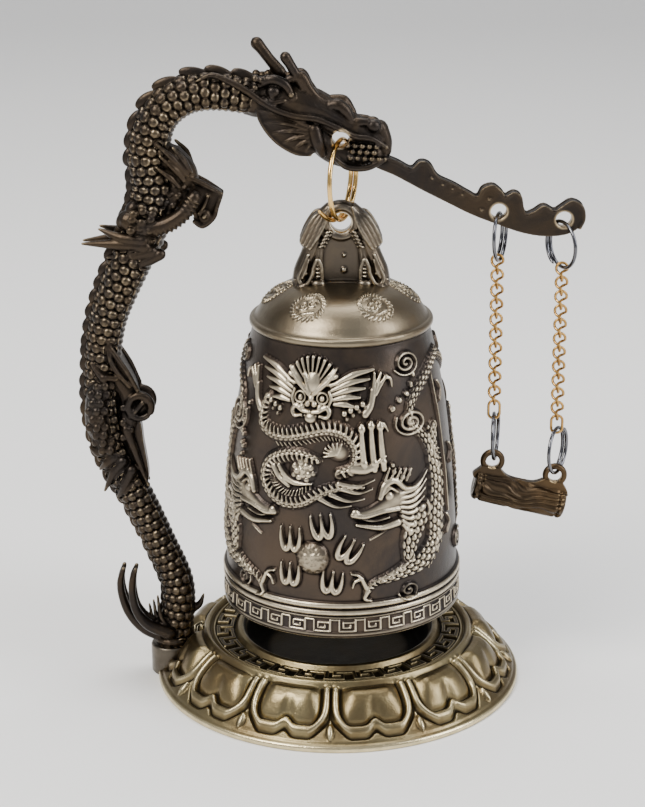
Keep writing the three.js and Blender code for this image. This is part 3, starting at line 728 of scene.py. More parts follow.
def plate(heap, outline, depth, middle=0.0, smoothLine=True):
    # a flat plate standing in the plane of the dragon, from an outline of (x, z) points
    line = np.array(outline, float)
    if smoothLine:
        line = catmull(np.vstack([line, line[:1]]), 6)[:-1]
    n = len(line)
    front = np.stack([line[:, 0] + axisX, np.full(n, middle - depth / 2), line[:, 1]], -1)
    back = front + [0, depth, 0]
    filler = bmesh.new()
    ends = []
    for ring in (front, back):
        verts = [filler.verts.new(p) for p in ring]
        ends.append(verts)
        filler.faces.new(verts)
    for i in range(n):
        filler.faces.new([ends[0][i], ends[0][(i + 1) % n], ends[1][(i + 1) % n], ends[1][i]])
    bmesh.ops.recalc_face_normals(filler, faces=filler.faces)
    bmesh.ops.triangulate(filler, faces=filler.faces)
    filler.verts.index_update()
    points = [v.co[:] for v in filler.verts]
    tris = [[v.index for v in f.verts] for f in filler.faces]
    filler.free()
    heapAdd(heap, points, np.zeros((0, 4), int), tris)


def fuse(heap, name, voxel, relax=3):
    obj = buildMesh(name, np.vstack(heap["points"]), np.vstack(heap["quads"]), np.vstack(heap["tris"]))
    remesh = obj.modifiers.new("fuse", "REMESH")
    remesh.mode = "VOXEL"
    remesh.voxel_size = voxel * mm
    applyModifiers(obj)
    relaxMesh(obj, relax)
    obj.data.shade_smooth()
    return obj


def applyModifiers(obj):
    graph = bpy.context.evaluated_depsgraph_get()
    graph.update()
    done = bpy.data.meshes.new_from_object(obj.evaluated_get(graph),
                                           preserve_all_data_layers=False, depsgraph=graph)
    old = obj.data
    obj.modifiers.clear()
    obj.data = done
    bpy.data.meshes.remove(old)
    done.name = obj.name


def meshArrays(mesh):
    points = np.empty(len(mesh.vertices) * 3)
    mesh.vertices.foreach_get("co", points)
    edges = np.empty(len(mesh.edges) * 2, np.int32)
    mesh.edges.foreach_get("vertices", edges)
    return points.reshape(-1, 3) / mm, edges.reshape(-1, 2)


def meshNormals(mesh):
    normals = np.empty(len(mesh.vertices) * 3)
    mesh.vertices.foreach_get("normal", normals)
    return normals.reshape(-1, 3)


def neighbourSum(points, edges):
    # for each vertex, the sum over the vertices it shares an edge with
    a, b = edges.T
    return np.stack([np.bincount(a, points[b, k], len(points)) + np.bincount(b, points[a, k], len(points))
                     for k in range(3)], -1)


def vertexDegree(edges, count):
    return np.maximum(np.bincount(edges.ravel(), minlength=count), 1)[:, None]


def relaxMesh(obj, times):
    points, edges = meshArrays(obj.data)
    degree = vertexDegree(edges, len(points))
    for i in range(times * 2):   # shrink a little, then swell back, so that thin parts keep their size
        points = points + (0.55 if i % 2 == 0 else -0.56) * (neighbourSum(points, edges) / degree - points)
    obj.data.vertices.foreach_set("co", (points * mm).ravel())
    obj.data.update()


def drill(obj, holes):
    # straight holes along the depth direction: (x from the axis, z, radius)
    sides, reach = 40, 12
    a = np.linspace(0, 2 * math.pi, sides, endpoint=False)
    tris = np.vstack([fan(2 * sides, 0, sides), fan(2 * sides + 1, sides, sides, True)])
    for x, z, radius in holes:
        rings = [np.stack([axisX + x + radius * np.cos(a), np.full(sides, y), z + radius * np.sin(a)], -1)
                 for y in (-reach, reach)]
        points = np.vstack(rings + [[[axisX + x, -reach, z], [axisX + x, reach, z]]])
        tool = buildMesh("drillBit", points, gridQuads(2, sides, True)[:, ::-1], tris)
        cut = obj.modifiers.new("drill", "BOOLEAN")
        cut.operation = "DIFFERENCE"
        cut.solver = "MANIFOLD"
        cut.object = tool
        applyModifiers(obj)
        bpy.data.objects.remove(tool)
    obj.data.shade_smooth()


# dragon

dragonLook = {
    "voxel": 0.24,
    "scaleRow": 2.4,       # distance between rows of scales along the body
    "scalesRound": 11,     # scales in one row round the body
    "scaleHeight": 1.0, "finPitch": 3.9,
}
spine = [(-42.9, 8.6), (-42.2, 14), (-41.6, 24.8), (-46, 36.8), (-51, 48.6), (-56.6, 60),
         (-59.2, 71), (-59.2, 83), (-57.2, 97), (-52, 110), (-47.3, 120), (-45, 130), (-45.6, 139),
         (-43.4, 147.6), (-37.6, 152.8), (-30.6, 154.2), (-22, 153.2), (-14, 151.2), (-8, 149.4)]
spineRadii = [4.9, 4.5, 4.2, 4.1, 4.2, 4.5, 4.6, 4.5, 4.8, 5.4, 5.7, 5.4, 5.2, 5.0, 4.9, 4.8, 4.6, 4.6, 4.4]


def spineFrame(perSpan=12):
    line = catmull([(x, 0, z) for x, z in spine], perSpan)
    radii = np.interp(np.linspace(0, 1, len(line)), np.linspace(0, 1, len(spineRadii)), spineRadii)
    tangent = np.gradient(line, axis=0)
    tangent /= np.linalg.norm(tangent, axis=1)[:, None]
    outward = np.stack([-tangent[:, 2], tangent[:, 1], tangent[:, 0]], -1)   # to the dragon's back
    return line, radii, lengthsAlong(line), tangent, outward


def dragonFin(heap):
    # overlapping lobes along the back, long and low over the neck and short on the body
    line, radii, along, tangent, outward = spineFrame()
    place = 6.0
    while place < along[-1] - 14:
        i = nearestIndex(along, place)
        neck = np.clip((line[i][2] - 140) / 14, 0, 1)
        pitch = dragonLook["finPitch"] * (0.9 + 0.5 * neck)
        size = 0.55 + 0.45 * np.clip((place - 30) / 40, 0, 1)
        x, _, z = line[i] + outward[i] * (radii[i] - 0.2)
        lean = math.atan2(tangent[i][2], tangent[i][0])
        lump(heap, (x, 0, z), (pitch * 0.72, 0.95, 1.75 * size), -lean + 0.3)
        place += pitch


def dragonHead(heap):
    bar(heap, [(-20, 0, 152.6), (-13, 0, 152), (-6, 0, 150.2), (0, 0, 147.2), (5, 0, 144.4), (9.6, 0, 142.8)],
        [4.6, 5.2, 5.0, 4.2, 3.7, 3.0], 0.92)
    bar(heap, [(-10, 0, 147.6), (-5, 0, 143.8), (-1, 0, 139.9), (4, 0, 138.2), (9, 0, 139.0)],
        [3.6, 3.8, 3.4, 3.1, 2.6], 1.0)
    # brow, eye and the ridges down to the nose
    bar(heap, [(-18.6, 3.0, 156.2), (-15.6, 3.7, 157.8), (-12.4, 3.9, 156.6), (-10.4, 4.0, 153.4)],
        [0.9, 1.25, 1.2, 0.8], mirror=True)
    bar(heap, [(-17.8, 4.2, 153.2), (-15.4, 4.6, 152.4), (-12.6, 4.5, 152.8)], [0.6, 0.8, 0.6], mirror=True)
    lump(heap, (-15.2, 3.9, 154.9), (1.75, 1.5, 1.5), mirror=True)
    bar(heap, [(-11.4, 2.2, 157.6), (-8.6, 2.2, 158.0), (-6.8, 2.3, 155.4),
               (-4.8, 2.3, 153.0), (-2.2, 2.3, 151.6)], [1.1, 1.6, 1.3, 1.2, 1.0], mirror=True)
    lump(heap, (-7.9, 1.9, 156.4), (1.7, 1.6, 1.9), 0.4, mirror=True)
    bar(heap, [(-3, 2.2, 150.6), (0, 2.5, 151.3), (2.2, 2.6, 149.8), (3.6, 2.5, 147.4)],
        [1.2, 1.7, 1.5, 1.0], mirror=True)
    bar(heap, [(-1, 0, 152.2), (1.8, 0, 151.8), (4, 0, 149.2)], [1.3, 1.5, 0.9])
    bar(heap, [(3.2, 2.0, 146.4), (5.0, 2.2, 147.0), (7.4, 2.2, 147.0)], [0.9, 1.3, 1.0], mirror=True)
    lump(heap, (8.9, 1.9, 146.0), (1.9, 1.6, 1.7), 0.2, mirror=True)
    lump(heap, (4.6, 2.1, 146.3), (1.4, 1.4, 1.3), mirror=True)
    bar(heap, [(10.4, 0, 145), (11.6, 0, 142), (11.9, 0, 139.6)], [2.3, 2.0, 1.6])
    # lips, cheek bone and the line that sweeps back from the mouth
    bar(heap, [(12.0, 3.0, 141.0), (8.6, 3.8, 143.2), (4.4, 4.3, 144.0), (0.6, 4.5, 146.0),
               (-4.6, 4.7, 148.2), (-10.4, 5.0, 149.2), (-16, 5.1, 151.4), (-21, 4.9, 154.9),
               (-26, 4.3, 157.6), (-30, 3.6, 158.9), (-33.6, 3.4, 157.4)],
        [0.6, 0.75, 0.75, 0.8, 0.8, 0.8, 0.85, 0.85, 0.8, 0.7, 0.3], mirror=True)
    bar(heap, [(11.6, 2.4, 137.8), (7.4, 3.2, 136.0), (2.6, 3.3, 136.2), (-0.6, 3.5, 138.6)],
        [0.7, 0.8, 0.8, 0.6], mirror=True)
    bar(heap, [(-5.4, 4.2, 145.6), (-4.6, 4.4, 142.6), (-3.4, 4.0, 139.6)], [1.7, 1.7, 1.0], mirror=True)
    for i in range(3):        # rows of studs on the jaw
        for k in range(5 - i % 2):
            lump(heap, (2.7 + 1.75 * k + 0.85 * (i % 2) + 0.3 * i, 3.5 - 0.25 * i, 141.6 - 1.6 * i - 0.1 * k),
                 (0.75, 0.75, 0.68), mirror=True)
    for i in range(4):        # curls behind the eye
        lump(heap, (-19.5 + 1.5 * i, 3.4, 158.0 - 0.4 * (i % 2)), (1.0, 1.2, 1.0), mirror=True)
        lump(heap, (-21.6 + 2.0 * i, 4.3, 155.3 - 1.0 * i + 1.6 * (i % 2)), (0.85, 0.9, 0.8), mirror=True)
    for x in (-17.2, -10.9):  # beads beside the eye
        lump(heap, (x, 4.5, 153.6 + 0.2 * (x + 14)), (0.85, 0.8, 0.85), mirror=True)
    # horns
    bar(heap, [(-13.6, 2.3, 158.6), (-16.2, 2.9, 161.6), (-18.0, 3.4, 163.9), (-19.2, 3.7, 165.3)],
        [1.5, 1.35, 1.4, 1.6])
    bar(heap, [(-7.8, -1.9, 155.6), (-9.6, -2.4, 158.6), (-11.2, -2.8, 161.4), (-12.2, -3.0, 163.0)],
        [1.6, 1.25, 1.25, 1.4])


def cheekFan(heap):
    # ribbed fins that spread back and down from the cheek bones
    outline = [(-4.4, 146.6), (-12, 149.2), (-19.2, 151.6), (-18.2, 147.6), (-16.2, 144.6), (-13.3, 142.0),
               (-9.8, 140.2), (-6.4, 139.6), (-4.2, 141.2)]
    for side in (-1, 1):
        plate(heap, outline, 1.3, side * 3.6)
        tips = [(-18.6, 150.6), (-17.4, 147.6), (-15.4, 144.9), (-12.8, 142.6), (-10, 141.1), (-7.4, 140.4)]
        for k, (x, z) in enumerate(tips):
            root = (-5.6, side * 4.4, 146.2 - 0.75 * k)
            middle = ((x - 5.6) / 2, side * 4.35, (z + root[2]) / 2 + 0.5)
            bar(heap, [root, middle, (x, side * 4.1, z)], [0.55, 0.5, 0.35])
        rim = [(-19.3, 152.4), (-18.6, 148.6), (-16.5, 144.9), (-13.6, 142.0), (-9.8, 139.9), (-6.4, 139.4)]
        bar(heap, [(x, side * 3.9, z) for x, z in rim], [0.3, 0.6, 0.6, 0.6, 0.6, 0.4])


def talon(heap, line, away, radii):
    # a claw on each side, given by (x, z) points and how far each lies from the middle
    for side in (-1, 1):
        bar(heap, [(x, side * y, z) for (x, z), y in zip(line, away)], radii)


def upperLeg(heap):
    # shoulder, ribbed forearm, fist with its three cornered fin, and talons behind the back
    bar(heap, [(-51, 3.2, 123), (-46.5, 4.2, 121.6), (-42, 4.8, 122.4), (-37.4, 5.0, 125.4),
               (-34.8, 4.8, 129.2)], [2.6, 2.5, 2.0, 1.8, 1.7], mirror=True)
    elbow = catmull([(-44.6, 121.2), (-41.0, 122.4), (-37.6, 124.9), (-35.0, 128.8)], 8)
    total = lengthsAlong(elbow)
    for place in np.arange(0.3, total[-1], 1.12):   # bracelets
        here, ahead = [np.array([np.interp(t, total,
                                           elbow[:, i]) for i in range(2)]) for t in (place, place + 0.3)]
        turn = math.atan2(ahead[1] - here[1], ahead[0] - here[0] + 1e-6)
        for side in (-1, 1):
            lump(heap, (here[0], side * 5.1, here[1]), (0.58, 1.75, 2.0), -turn)
    for k in range(9):        # scales on the shoulder
        lump(heap, (-50.4 + 2.3 * (k % 3) + 0.4 * (k // 3), 6.2, 121.2 + 2.1 * (k // 3) + 0.7 * (k % 2)),
             (1.15, 0.8, 1.0), mirror=True)
    plate(heap, [(-36.4, 134.0), (-33.4, 132.4), (-30.4, 130.8), (-28.2, 129.4), (-29.2, 126.6),
                 (-30.0, 123.6), (-32.6, 121.4), (-35.0, 123.0), (-36, 128)], 3.4)
    bar(heap, [(-36.2, 2.2, 133.6), (-32.2, 1.9, 131.6), (-28.3, 1.5, 129.3)], [0.8, 0.75, 0.5], mirror=True)
    bar(heap, [(-28.4, 1.4, 129), (-29.4, 1.7, 126.2), (-30.4, 1.8, 123.4),
               (-33, 1.8, 121.4), (-35, 1.9, 122.4)], [0.6, 0.6, 0.7, 0.8, 0.6], mirror=True)
    bar(heap, [(-31.6, 1.9, 128.8), (-32.6, 2.0, 126.4), (-33.8, 2.1, 124.8)], [0.5, 0.6, 0.6], mirror=True)
    lump(heap, (-32.6, 1.8, 123.8), (1.6, 0.8, 1.6), mirror=True)
    lump(heap, (-32.6, 2.5, 123.8), (0.7, 0.6, 0.7), mirror=True)
    for line in (((-47.6, 118.4), (-53, 118.8), (-58.6, 120.6)),
                 ((-47.2, 116.8), (-54, 117.2), (-62.9, 116.9)),
                 ((-45.6, 115.6), (-51, 114.2), (-56.8, 113.4)),
                 ((-43.6, 114.8), (-48, 112.6), (-53.4, 111.9))):
        talon(heap, line, (4.4, 3.7, 1.7), [1.5, 1.45, 0.35])
    lump(heap, (-52.2, 2.6, 123.2), (1.9, 1.9, 2.6), 0.6, mirror=True)
    lump(heap, (-50.0, 3.0, 126.0), (1.8, 1.8, 2.2), 0.6, mirror=True)
    bar(heap, [(-40.6, 0, 137.4), (-37.6, 0, 135.2), (-36.2, 0, 132.4)], [4.2, 3.2, 2.6], 1.1)
    # fills the crook
    bar(heap, [(-43.6, 0, 123.6), (-40.6, 0, 128.4), (-39.4, 0, 133.6)], [4.4, 4.0, 3.2], 0.9)
    for k in range(8):
        lump(heap, (-43.0 + 1.1 * (k // 2) + 1.9 * (k % 2), 3.4 - 0.15 * k,
                    125.2 + 2.2 * (k // 2) - 0.7 * (k % 2)),
             (1.05, 1.1, 1.05), mirror=True)
    for start, end in (((-43.6, 142.4), (-36.4, 134.6)), ((-42.8, 139.4), (-37.2, 133.2)),
                       ((-39.6, 141.4), (-35.6, 135.4)), ((-43.8, 136.6), (-38.4, 131.6))):
        middle = ((start[0] + end[0]) / 2 + 0.5, 5.1, (start[1] + end[1]) / 2 + 0.2)
        bar(heap, [(start[0], 4.7, start[1]), middle, (end[0], 4.0, end[1])], [0.4, 0.8, 0.6], mirror=True)


def lowerLeg(heap):
    # haunch on the back, the curled knee in front and the talons below it
    bar(heap, [(-58.6, 2.4, 83), (-60.6, 2.8, 76.6), (-60.8, 2.8, 70), (-58.6, 2.6, 63)],
        [2.2, 3.0, 3.1, 2.2], mirror=True)
    bar(heap, [(-58.7, 3.8, 82.4), (-61.9, 3.4, 77.6), (-63.2, 3.0, 72.2), (-62.9, 3.0, 66)],
        [0.5, 0.75, 0.75, 0.4], mirror=True)
    for k in range(10):       # scales on the haunch
        z = 63.4 + 2.15 * k
        x = np.interp(z, [63, 70, 76.6, 83], [-58.6, -60.8, -60.6, -58.6])
        size = np.interp(z, [63, 70, 76.6, 83], [2.2, 3.1, 3.0, 2.2])
        for dx in (-2.0, 0.0, 2.0) if k % 2 else (-1.0, 1.0):
            if abs(dx) < size - 0.4:
                lump(heap, (x + dx, 2.7 + math.sqrt(size**2 - dx**2), z), (1.05, 0.75, 1.15), mirror=True)
    a = np.linspace(-0.4, 1.72 * math.pi, 16)
    bar(heap, [(-50.0 + 2.9 * math.cos(t), 3.0, 74.6 + 3.0 * math.sin(t)) for t in a],
        [1.0, 1.1, 1.1, 0.8], mirror=True)
    bar(heap, [(-51.4, 3.3, 73.2), (-49.2, 3.5, 75.8)], [0.75, 0.7], mirror=True)
    lump(heap, (-50.2, 0, 74.5), (3.3, 3.0, 3.3))
    # flesh and a web of skin join the knee to the body
    bar(heap, [(-56.4, 0, 82.6), (-53.0, 0, 77.4), (-52.8, 0, 71.6), (-54.4, 0, 65.6)],
        [2.8, 3.1, 3.1, 2.6], 1.1)
    plate(heap, [(-57.2, 92.4), (-54.4, 87.4), (-50.9, 80.2), (-51.2, 77.0), (-56, 79), (-58.4, 85)], 5.6)
    plate(heap, [(-55.6, 70.4), (-50.6, 71.0), (-49.4, 64), (-48.4, 55.6), (-49.6, 54.0), (-53.6, 62)], 4.2)
    for k in range(6):
        lump(heap, (-54.6 + 1.9 * (k % 2) + 0.1 * k, 3.1, 66.4 + 2.0 * k), (1.0, 0.8, 1.0), mirror=True)
    bar(heap, [(-53.6, 3.0, 68.6), (-52.0, 3.1, 64), (-50.4, 2.6, 58.6), (-48.6, 2.2, 53)],
        [1.3, 1.1, 0.9, 0.3], mirror=True)
    bar(heap, [(-58.4, 3.6, 93.4), (-55.4, 4.4, 88.6), (-52.7, 4.3, 84.2), (-50.4, 3.4, 79.2)],
        [0.35, 0.7, 0.7, 0.6], mirror=True)
    bar(heap, [(-57.6, 3.9, 93.0), (-57.0, 4.4, 88.0), (-55.4, 4.4, 84.4), (-52.4, 3.8, 80.4)],
        [0.3, 0.6, 0.7, 0.6], mirror=True)
    bar(heap, [(-61.6, 3.4, 86.4), (-59.2, 4.4, 83.4), (-55.6, 4.5, 82.6)], [0.5, 0.95, 0.8], mirror=True)
    for line in (((-58.8, 63.6), (-61, 62.6), (-63.2, 63.4)), ((-56.8, 61.2), (-58.8, 59.6), (-60.8, 57.4)),
                 ((-54.8, 60.0), (-57.2, 56.8), (-59.8, 51.5)), ((-52.6, 57.6), (-54.6, 53), (-56.6, 49.4))):
        talon(heap, line, (3.4, 3.2, 1.8), [1.5, 1.25, 0.35])


def tailFins(heap):
    for y, points, radii in ((2.1, [(-44.5, 9.6), (-50.6, 12.2), (-54.6, 16.4), (-56.4, 21.4),
                                    (-56.8, 25.6), (-55.9, 29.2)],
                              [1.9, 1.7, 1.25, 1.1, 0.95, 0.6]),
                             (-1.2, [(-44, 12.2), (-49.6, 14.8), (-52.6, 18.8), (-53.5, 23.6),
                                     (-53.3, 27.6), (-52.4, 30.4)],
                              [1.7, 1.5, 1.2, 1.0, 0.9, 0.55])):
        bar(heap, [(x, y, z) for x, z in points], radii)
        bar(heap, [(x, y - 3.2, z) for x, z in points], radii)
    for k in range(3):        # ribs between the fins
        bar(heap, [(-44 + 0.5 * k, -1 - k, 11.4), (-48.2 + k, -1.6 - k, 14.4 + k),
                   (-49.4 + 1.2 * k, -1.6 - k, 19.4 + 1.6 * k)], [1.0, 0.7, 0.3])
    bar(heap, [(-38.6, 0, 17.2), (-36.4, 0, 18.6), (-35.2, 0, 21.4)], [1.3, 0.9, 0.3])
    lump(heap, (-43.3, 0, 9.4), (5.3, 5.2, 1.9))


def beamPlate(heap):
    # the flat arm that carries the striker, with a scalloped upper edge
    top = [(9.5, 139.2), (14.6, 137.2), (18.2, 135.4), (20.4, 137.0), (22.6, 136.4),
           (24.6, 133.4), (28.6, 131.4), (32.4, 129.2), (34.6, 128.2), (36.0, 130.3),
           (38.3, 131.0), (40.2, 129.7), (41.4, 128.3), (43.4, 129.2), (45.0, 128.4),
           (45.6, 125.6), (46.6, 123.8), (48.6, 124.4), (51.0, 125.8), (53.6, 124.6),
           (55.4, 125.6), (57.8, 127.0), (60.2, 125.9), (60.9, 123.0), (60.0, 120.6)]
    bottom = [(56.6, 118.6), (51, 118.2), (45.4, 119.2), (39.8, 121.2), (33.6, 123.6), (27, 126.9),
              (20.6, 130.2), (14.4, 133.6), (8.6, 136.4)]
    plate(heap, top + bottom, 3.5)
    bar(heap, [(x, 1.55, z - 0.25) for x, z in top], [0.5], mirror=True)
    for x, z in ((23.4, 133.0), (26.0, 131.4), (28.4, 130.4), (30.8, 128.9), (35.6, 124.9), (37.4, 127.6)):
        lump(heap, (x, 1.75, z), (0.6, 0.4, 0.5), mirror=True)


def makeDragon():
    look = dragonLook
    heap = newHeap()
    line, radii, along, tangent, outward = spineFrame()
    heapAdd(heap, *closedTube(line + [axisX, 0, 0], list(radii * 0.9), 36))
    dragonFin(heap)
    dragonHead(heap)
    cheekFan(heap)
    upperLeg(heap)
    lowerLeg(heap)
    tailFins(heap)
    beamPlate(heap)
    dragon = fuse(heap, "dragonStand", look["voxel"], 2)
    # scales: round beads in staggered rows wherever the skin is the body itself
    points = meshArrays(dragon.data)[0]
    normals = meshNormals(dragon.data)
    centred = points - [axisX, 0, 0]
    near = np.zeros(len(points), int)
    best = np.full(len(points), 1e9)
    for i in range(len(line)):
        q = ((centred - line[i]) ** 2).sum(1)
        closer = q < best
        near[closer] = i
        best[closer] = q[closer]
    offset = centred - line[near]
    s = along[near] + (offset * tangent[near]).sum(1)
    up = (offset * outward[near]).sum(1)
    aroundBody = np.arctan2(offset[:, 1], up)
    depth = np.hypot(offset[:, 1], up) - 0.9 * radii[near]
    bare = np.clip(1 - np.abs(depth) / 0.32, 0, 1) ** 0.5
    neck = np.clip((along[-1] - 11 - s) / 4, 0, 1)
    row = s / look["scaleRow"]
    cellRow = np.floor(row)
    fromRow = (row - cellRow - 0.5) * look["scaleRow"]
    turns = aroundBody / (2 * math.pi) * look["scalesRound"] + 0.5 * (cellRow % 2)
    fromCell = (turns - np.floor(turns) - 0.5) * 2 * math.pi * radii[near] / look["scalesRound"]
    bead = np.sqrt(np.clip(1 - (fromRow / 1.28) ** 2 - (fromCell / 1.5) ** 2, 0, 1))
    belly = np.clip((np.abs(aroundBody) - 2.35) / 0.2, 0, 1)
    plates = 0.3 * (0.5 + 0.5 * np.cos(2 * math.pi * s / 1.7))
    lift = bare * neck * look["scaleHeight"] * ((1 - belly) * bead + belly * plates)
    points = points + normals * lift[:, None]
    dragon.data.vertices.foreach_set("co", (points * mm).ravel())
    dragon.data.update()
    relaxMesh(dragon, 1)
    drill(dragon, [(bellX - axisX, 143.0, 2.2), (39.9, 124.5, 2.0), (56.0, 122.4, 2.05)])
    markProud(dragon, 4, 44)
    return dragon


# crown of the bell: two beasts that bow away from a loop

def makeCrown():
    heap = newHeap()
    plate(heap, [(-10.9, 105), (-9.9, 109.4), (-8.0, 113.6), (-6.4, 117.6),
                 (-4.9, 122.2), (-3.2, 125.6), (0, 126.6), (3.2, 125.6), (4.9, 122.2),
                 (6.4, 117.6), (8.0, 113.6), (9.9, 109.4), (10.9, 105)], 3.6)
    a = np.linspace(0, 2 * math.pi, 25)
    bar(heap, [(3.8 * math.cos(t), 0, 122.0 + 3.8 * math.sin(t)) for t in a], [1.5], 1.6)
    for s in (-1, 1):
        # a heavy drooping head with grooves that run down its length
        bar(heap, [(s * 3.0, 0, 125.4), (s * 5.2, 0, 122.6), (s * 7.0, 0, 119.6), (s * 8.2, 0, 117.2)],
            [1.3, 1.9, 2.3, 2.2], 1.45)
        for k in range(4):
            for y in (-1, 1):
                bar(heap, [(s * (2.9 + 0.5 * k), y * (2.7 - 0.15 * k), 125.9 - 0.5 * k ),
                           (s * (4.2 + 0.75 * k), y * (3.3 - 0.2 * k), 122.0 + 0.55 * k),
                           (s * (6.0 + 0.85 * k), y * (3.7 - 0.25 * k), 118.6 + 0.6 * k),
                           (s * (7.6 + 0.75 * k), y * (3.4 - 0.2 * k), 115.9 + 0.5 * k)],
                    [0.45, 0.55, 0.6, 0.5])
        # legs that splay to the dome
        bar(heap, [(s * 6.2, 0, 117.4), (s * 7.8, 0, 113.2), (s * 9.2, 0, 109.4), (s * 10.0, 0, 106)],
            [2.4, 2.4, 2.6, 2.4], 1.2)
        bar(heap, [(s * 4.9, 0, 117.0), (s * 5.6, 0, 112), (s * 6.0, 0, 106)], [1.5, 1.7, 2.0], 1.7)
        for y in (-1, 1):
            for k in range(5):    # beads down the inner arch
                lump(heap, (s * (3.3 + 0.42 * k), y * 3.0, 119.9 - 0.9 * k), (0.85, 0.7, 0.36), 0.35 * s)
                lump(heap, (s * (2.5 + 0.42 * k), y * 2.3, 119.7 - 0.9 * k), (0.5, 0.6, 0.3), 0.35 * s)
            # the raised outlines of the paws, with small beads inside
            bar(heap, [(s * 4.7, y * 3.5, 108.0), (s * 4.9, y * 3.7, 111.2), (s * 5.8, y * 3.7, 113.0),
                       (s * 6.7, y * 3.7, 111.4),
                       (s * 7.2, y * 3.6, 109.2), (s * 8.4, y * 3.6, 106.9), (s * 9.8, y * 3.3, 106.6),
                       (s * 10.5, y * 2.9, 108.4), (s * 9.4, y * 2.9, 111.0), (s * 8.2, y * 2.9, 114.0)],
                [0.4, 0.5, 0.55, 0.5, 0.5, 0.5, 0.5, 0.45, 0.4])
            bar(heap, [(s * 8.2, y * 3.0, 112.6), (s * 9.0, y * 3.1, 109.6),
                       (s * 9.6, y * 3.1, 108.2)], [0.4, 0.5, 0.3])
            for k in range(4):
                lump(heap, (s * 5.8, y * 3.6, 108.8 + 0.95 * k), (0.55, 0.55, 0.3))
            lump(heap, (s * 5.7, y * 3.1, 106.9), (1.9, 1.7, 1.2))
            lump(heap, (s * 9.4, y * 2.7, 105.9), (1.8, 1.6, 0.9))
            lump(heap, (s * 8.8, y * 3.0, 109.4), (0.6, 0.6, 0.6))
        for k in range(4):        # little steps on the outer edge of the leg
            lump(heap, (s * (11.4 - 0.55 * k), 0, 107.6 + 1.25 * k), (0.7, 2.4, 0.42), 0.35 * s)
    for z, size in ((113.8, 0.5), (110.0, 0.8)):
        lump(heap, (0.7, 1.8, z), (size, 0.8, size), mirror=True)
    bar(heap, [(-11.0, 0, 105.3), (0, 0, 106.3), (11.0, 0, 105.3)], [1.5], 2.2)
    crown = fuse(heap, "bellCrown", 0.18, 2)
    drill(crown, [(0, 121.9, 2.55)])
    crown.data.transform(Matrix.Translation(((bellX - axisX) * mm, 0, 0)))
    markProud(crown, 4, 40)
    return crown


# rings and chains

wireLook = {"sides": 20, "bellWire": 0.6, "bellRadius": 9.85, "ringWire": 0.475, "ringRadius": 5.85,
            "linkWire": 0.35, "linkHalfWidth": 1.42}
ringTurns = {"bell_ring": -18, "upper_ring_left": -17, "lower_ring_left": -9, "upper_ring_right": 28,
             "lower_ring_right": -26}


def wireRing(name, x, topZ, radius, wire, fromDeg, toDeg, turnDeg, flare=0.0, lean=0.0):
    # a split ring: more than one turn of wire, side by side where it overlaps itself
    turns = (toDeg - fromDeg) / 360
    n = int(90 * turns)
    t = np.linspace(0, 1, n)
    a = np.radians(fromDeg + (toDeg - fromDeg) * t)
    r = radius + flare * np.clip(1 - t / 0.12, 0, 1) ** 2
    centre = topZ - radius
    across = (t - 0.5) * 2.2 * wire * turns + lean * np.clip(1 - t / 0.12, 0, 1) ** 2
    away = r * np.cos(a)
    twist = math.radians(turnDeg)
    path = np.stack([x + across * math.cos(twist) - away * math.sin(twist),
                     across * math.sin(twist) + away * math.cos(twist), centre + r * np.sin(a)], -1)
    radii = wire * np.sqrt(np.clip(np.minimum(t, 1 - t) * n / 2.5, 0.25, 1))
    return buildMesh(name, *closedTube(path, list(radii), wireLook["sides"], roll=[1, 0, 0]))


def chainLink(name, x, topZ, half, last):
    # an oval of wire whose lower end is turned a quarter turn, except on the last one
    wire = wireLook["linkWire"]
    halfWidth = wireLook["linkHalfWidth"]
    straight = half - halfWidth
    middle = topZ - half
    n = 22
    turn = 0 if last else 1
    steps = 14

    def flank(k, side):
        w = k / steps
        q = math.radians(90) * turn * (3 * w * w - 2 * w**3)
        z = middle + straight - 2 * straight * w
        return side * halfWidth * math.cos(q), side * halfWidth * math.sin(q), z
    arc = np.linspace(0, math.pi, n)
    points = [(halfWidth * math.cos(a), 0, middle + straight + halfWidth * math.sin(a)) for a in arc]
    points += [flank(k, -1) for k in range(1, steps)]
    for a in arc:
        c = -math.cos(a) * halfWidth
        points.append((c * (1 - turn), c * turn, middle - straight - halfWidth * math.sin(a)))
    points += [flank(steps - k, 1) for k in range(1, steps)]
    path = np.array(points) + [x, 0, 0]
    return buildMesh(name, *loopTube(path, wire, 12))


def loopTube(path, radius, sides):
    n = len(path)
    tangent = np.roll(path, -1, 0) - np.roll(path, 1, 0)
    tangent /= np.linalg.norm(tangent, axis=1)[:, None]
    centre = path.mean(0)
    rows = []
    side = path[0] - centre
    frames = []
    for i in range(n):
        side = side - tangent[i] * (side @ tangent[i])
        side /= np.linalg.norm(side)
        frames.append(side)
    closing = frames[0]
    up = np.cross(tangent[-1], frames[-1])
    miss = math.atan2(closing @ up, closing @ frames[-1])
    a = np.linspace(0, 2 * math.pi, sides, endpoint=False)[:, None]
    for i in range(n):
        turn = miss * i / n
        s = frames[i] * math.cos(turn) + np.cross(tangent[i], frames[i]) * math.sin(turn)
        u = np.cross(tangent[i], s)
        rows.append(path[i] + radius * (np.cos(a) * s + np.sin(a) * u))
    i = np.arange(n)[:, None]
    j = np.arange(sides)[None, :]
    k = (j + 1) % sides
    nxt = (i + 1) % n
    quads = np.stack([i * sides + j, nxt * sides + j, nxt * sides + k, i * sides + k], -1).reshape(-1, 4)
    return np.vstack(rows), quads, None


# striker: a small bark covered log under a flat web with two eyes

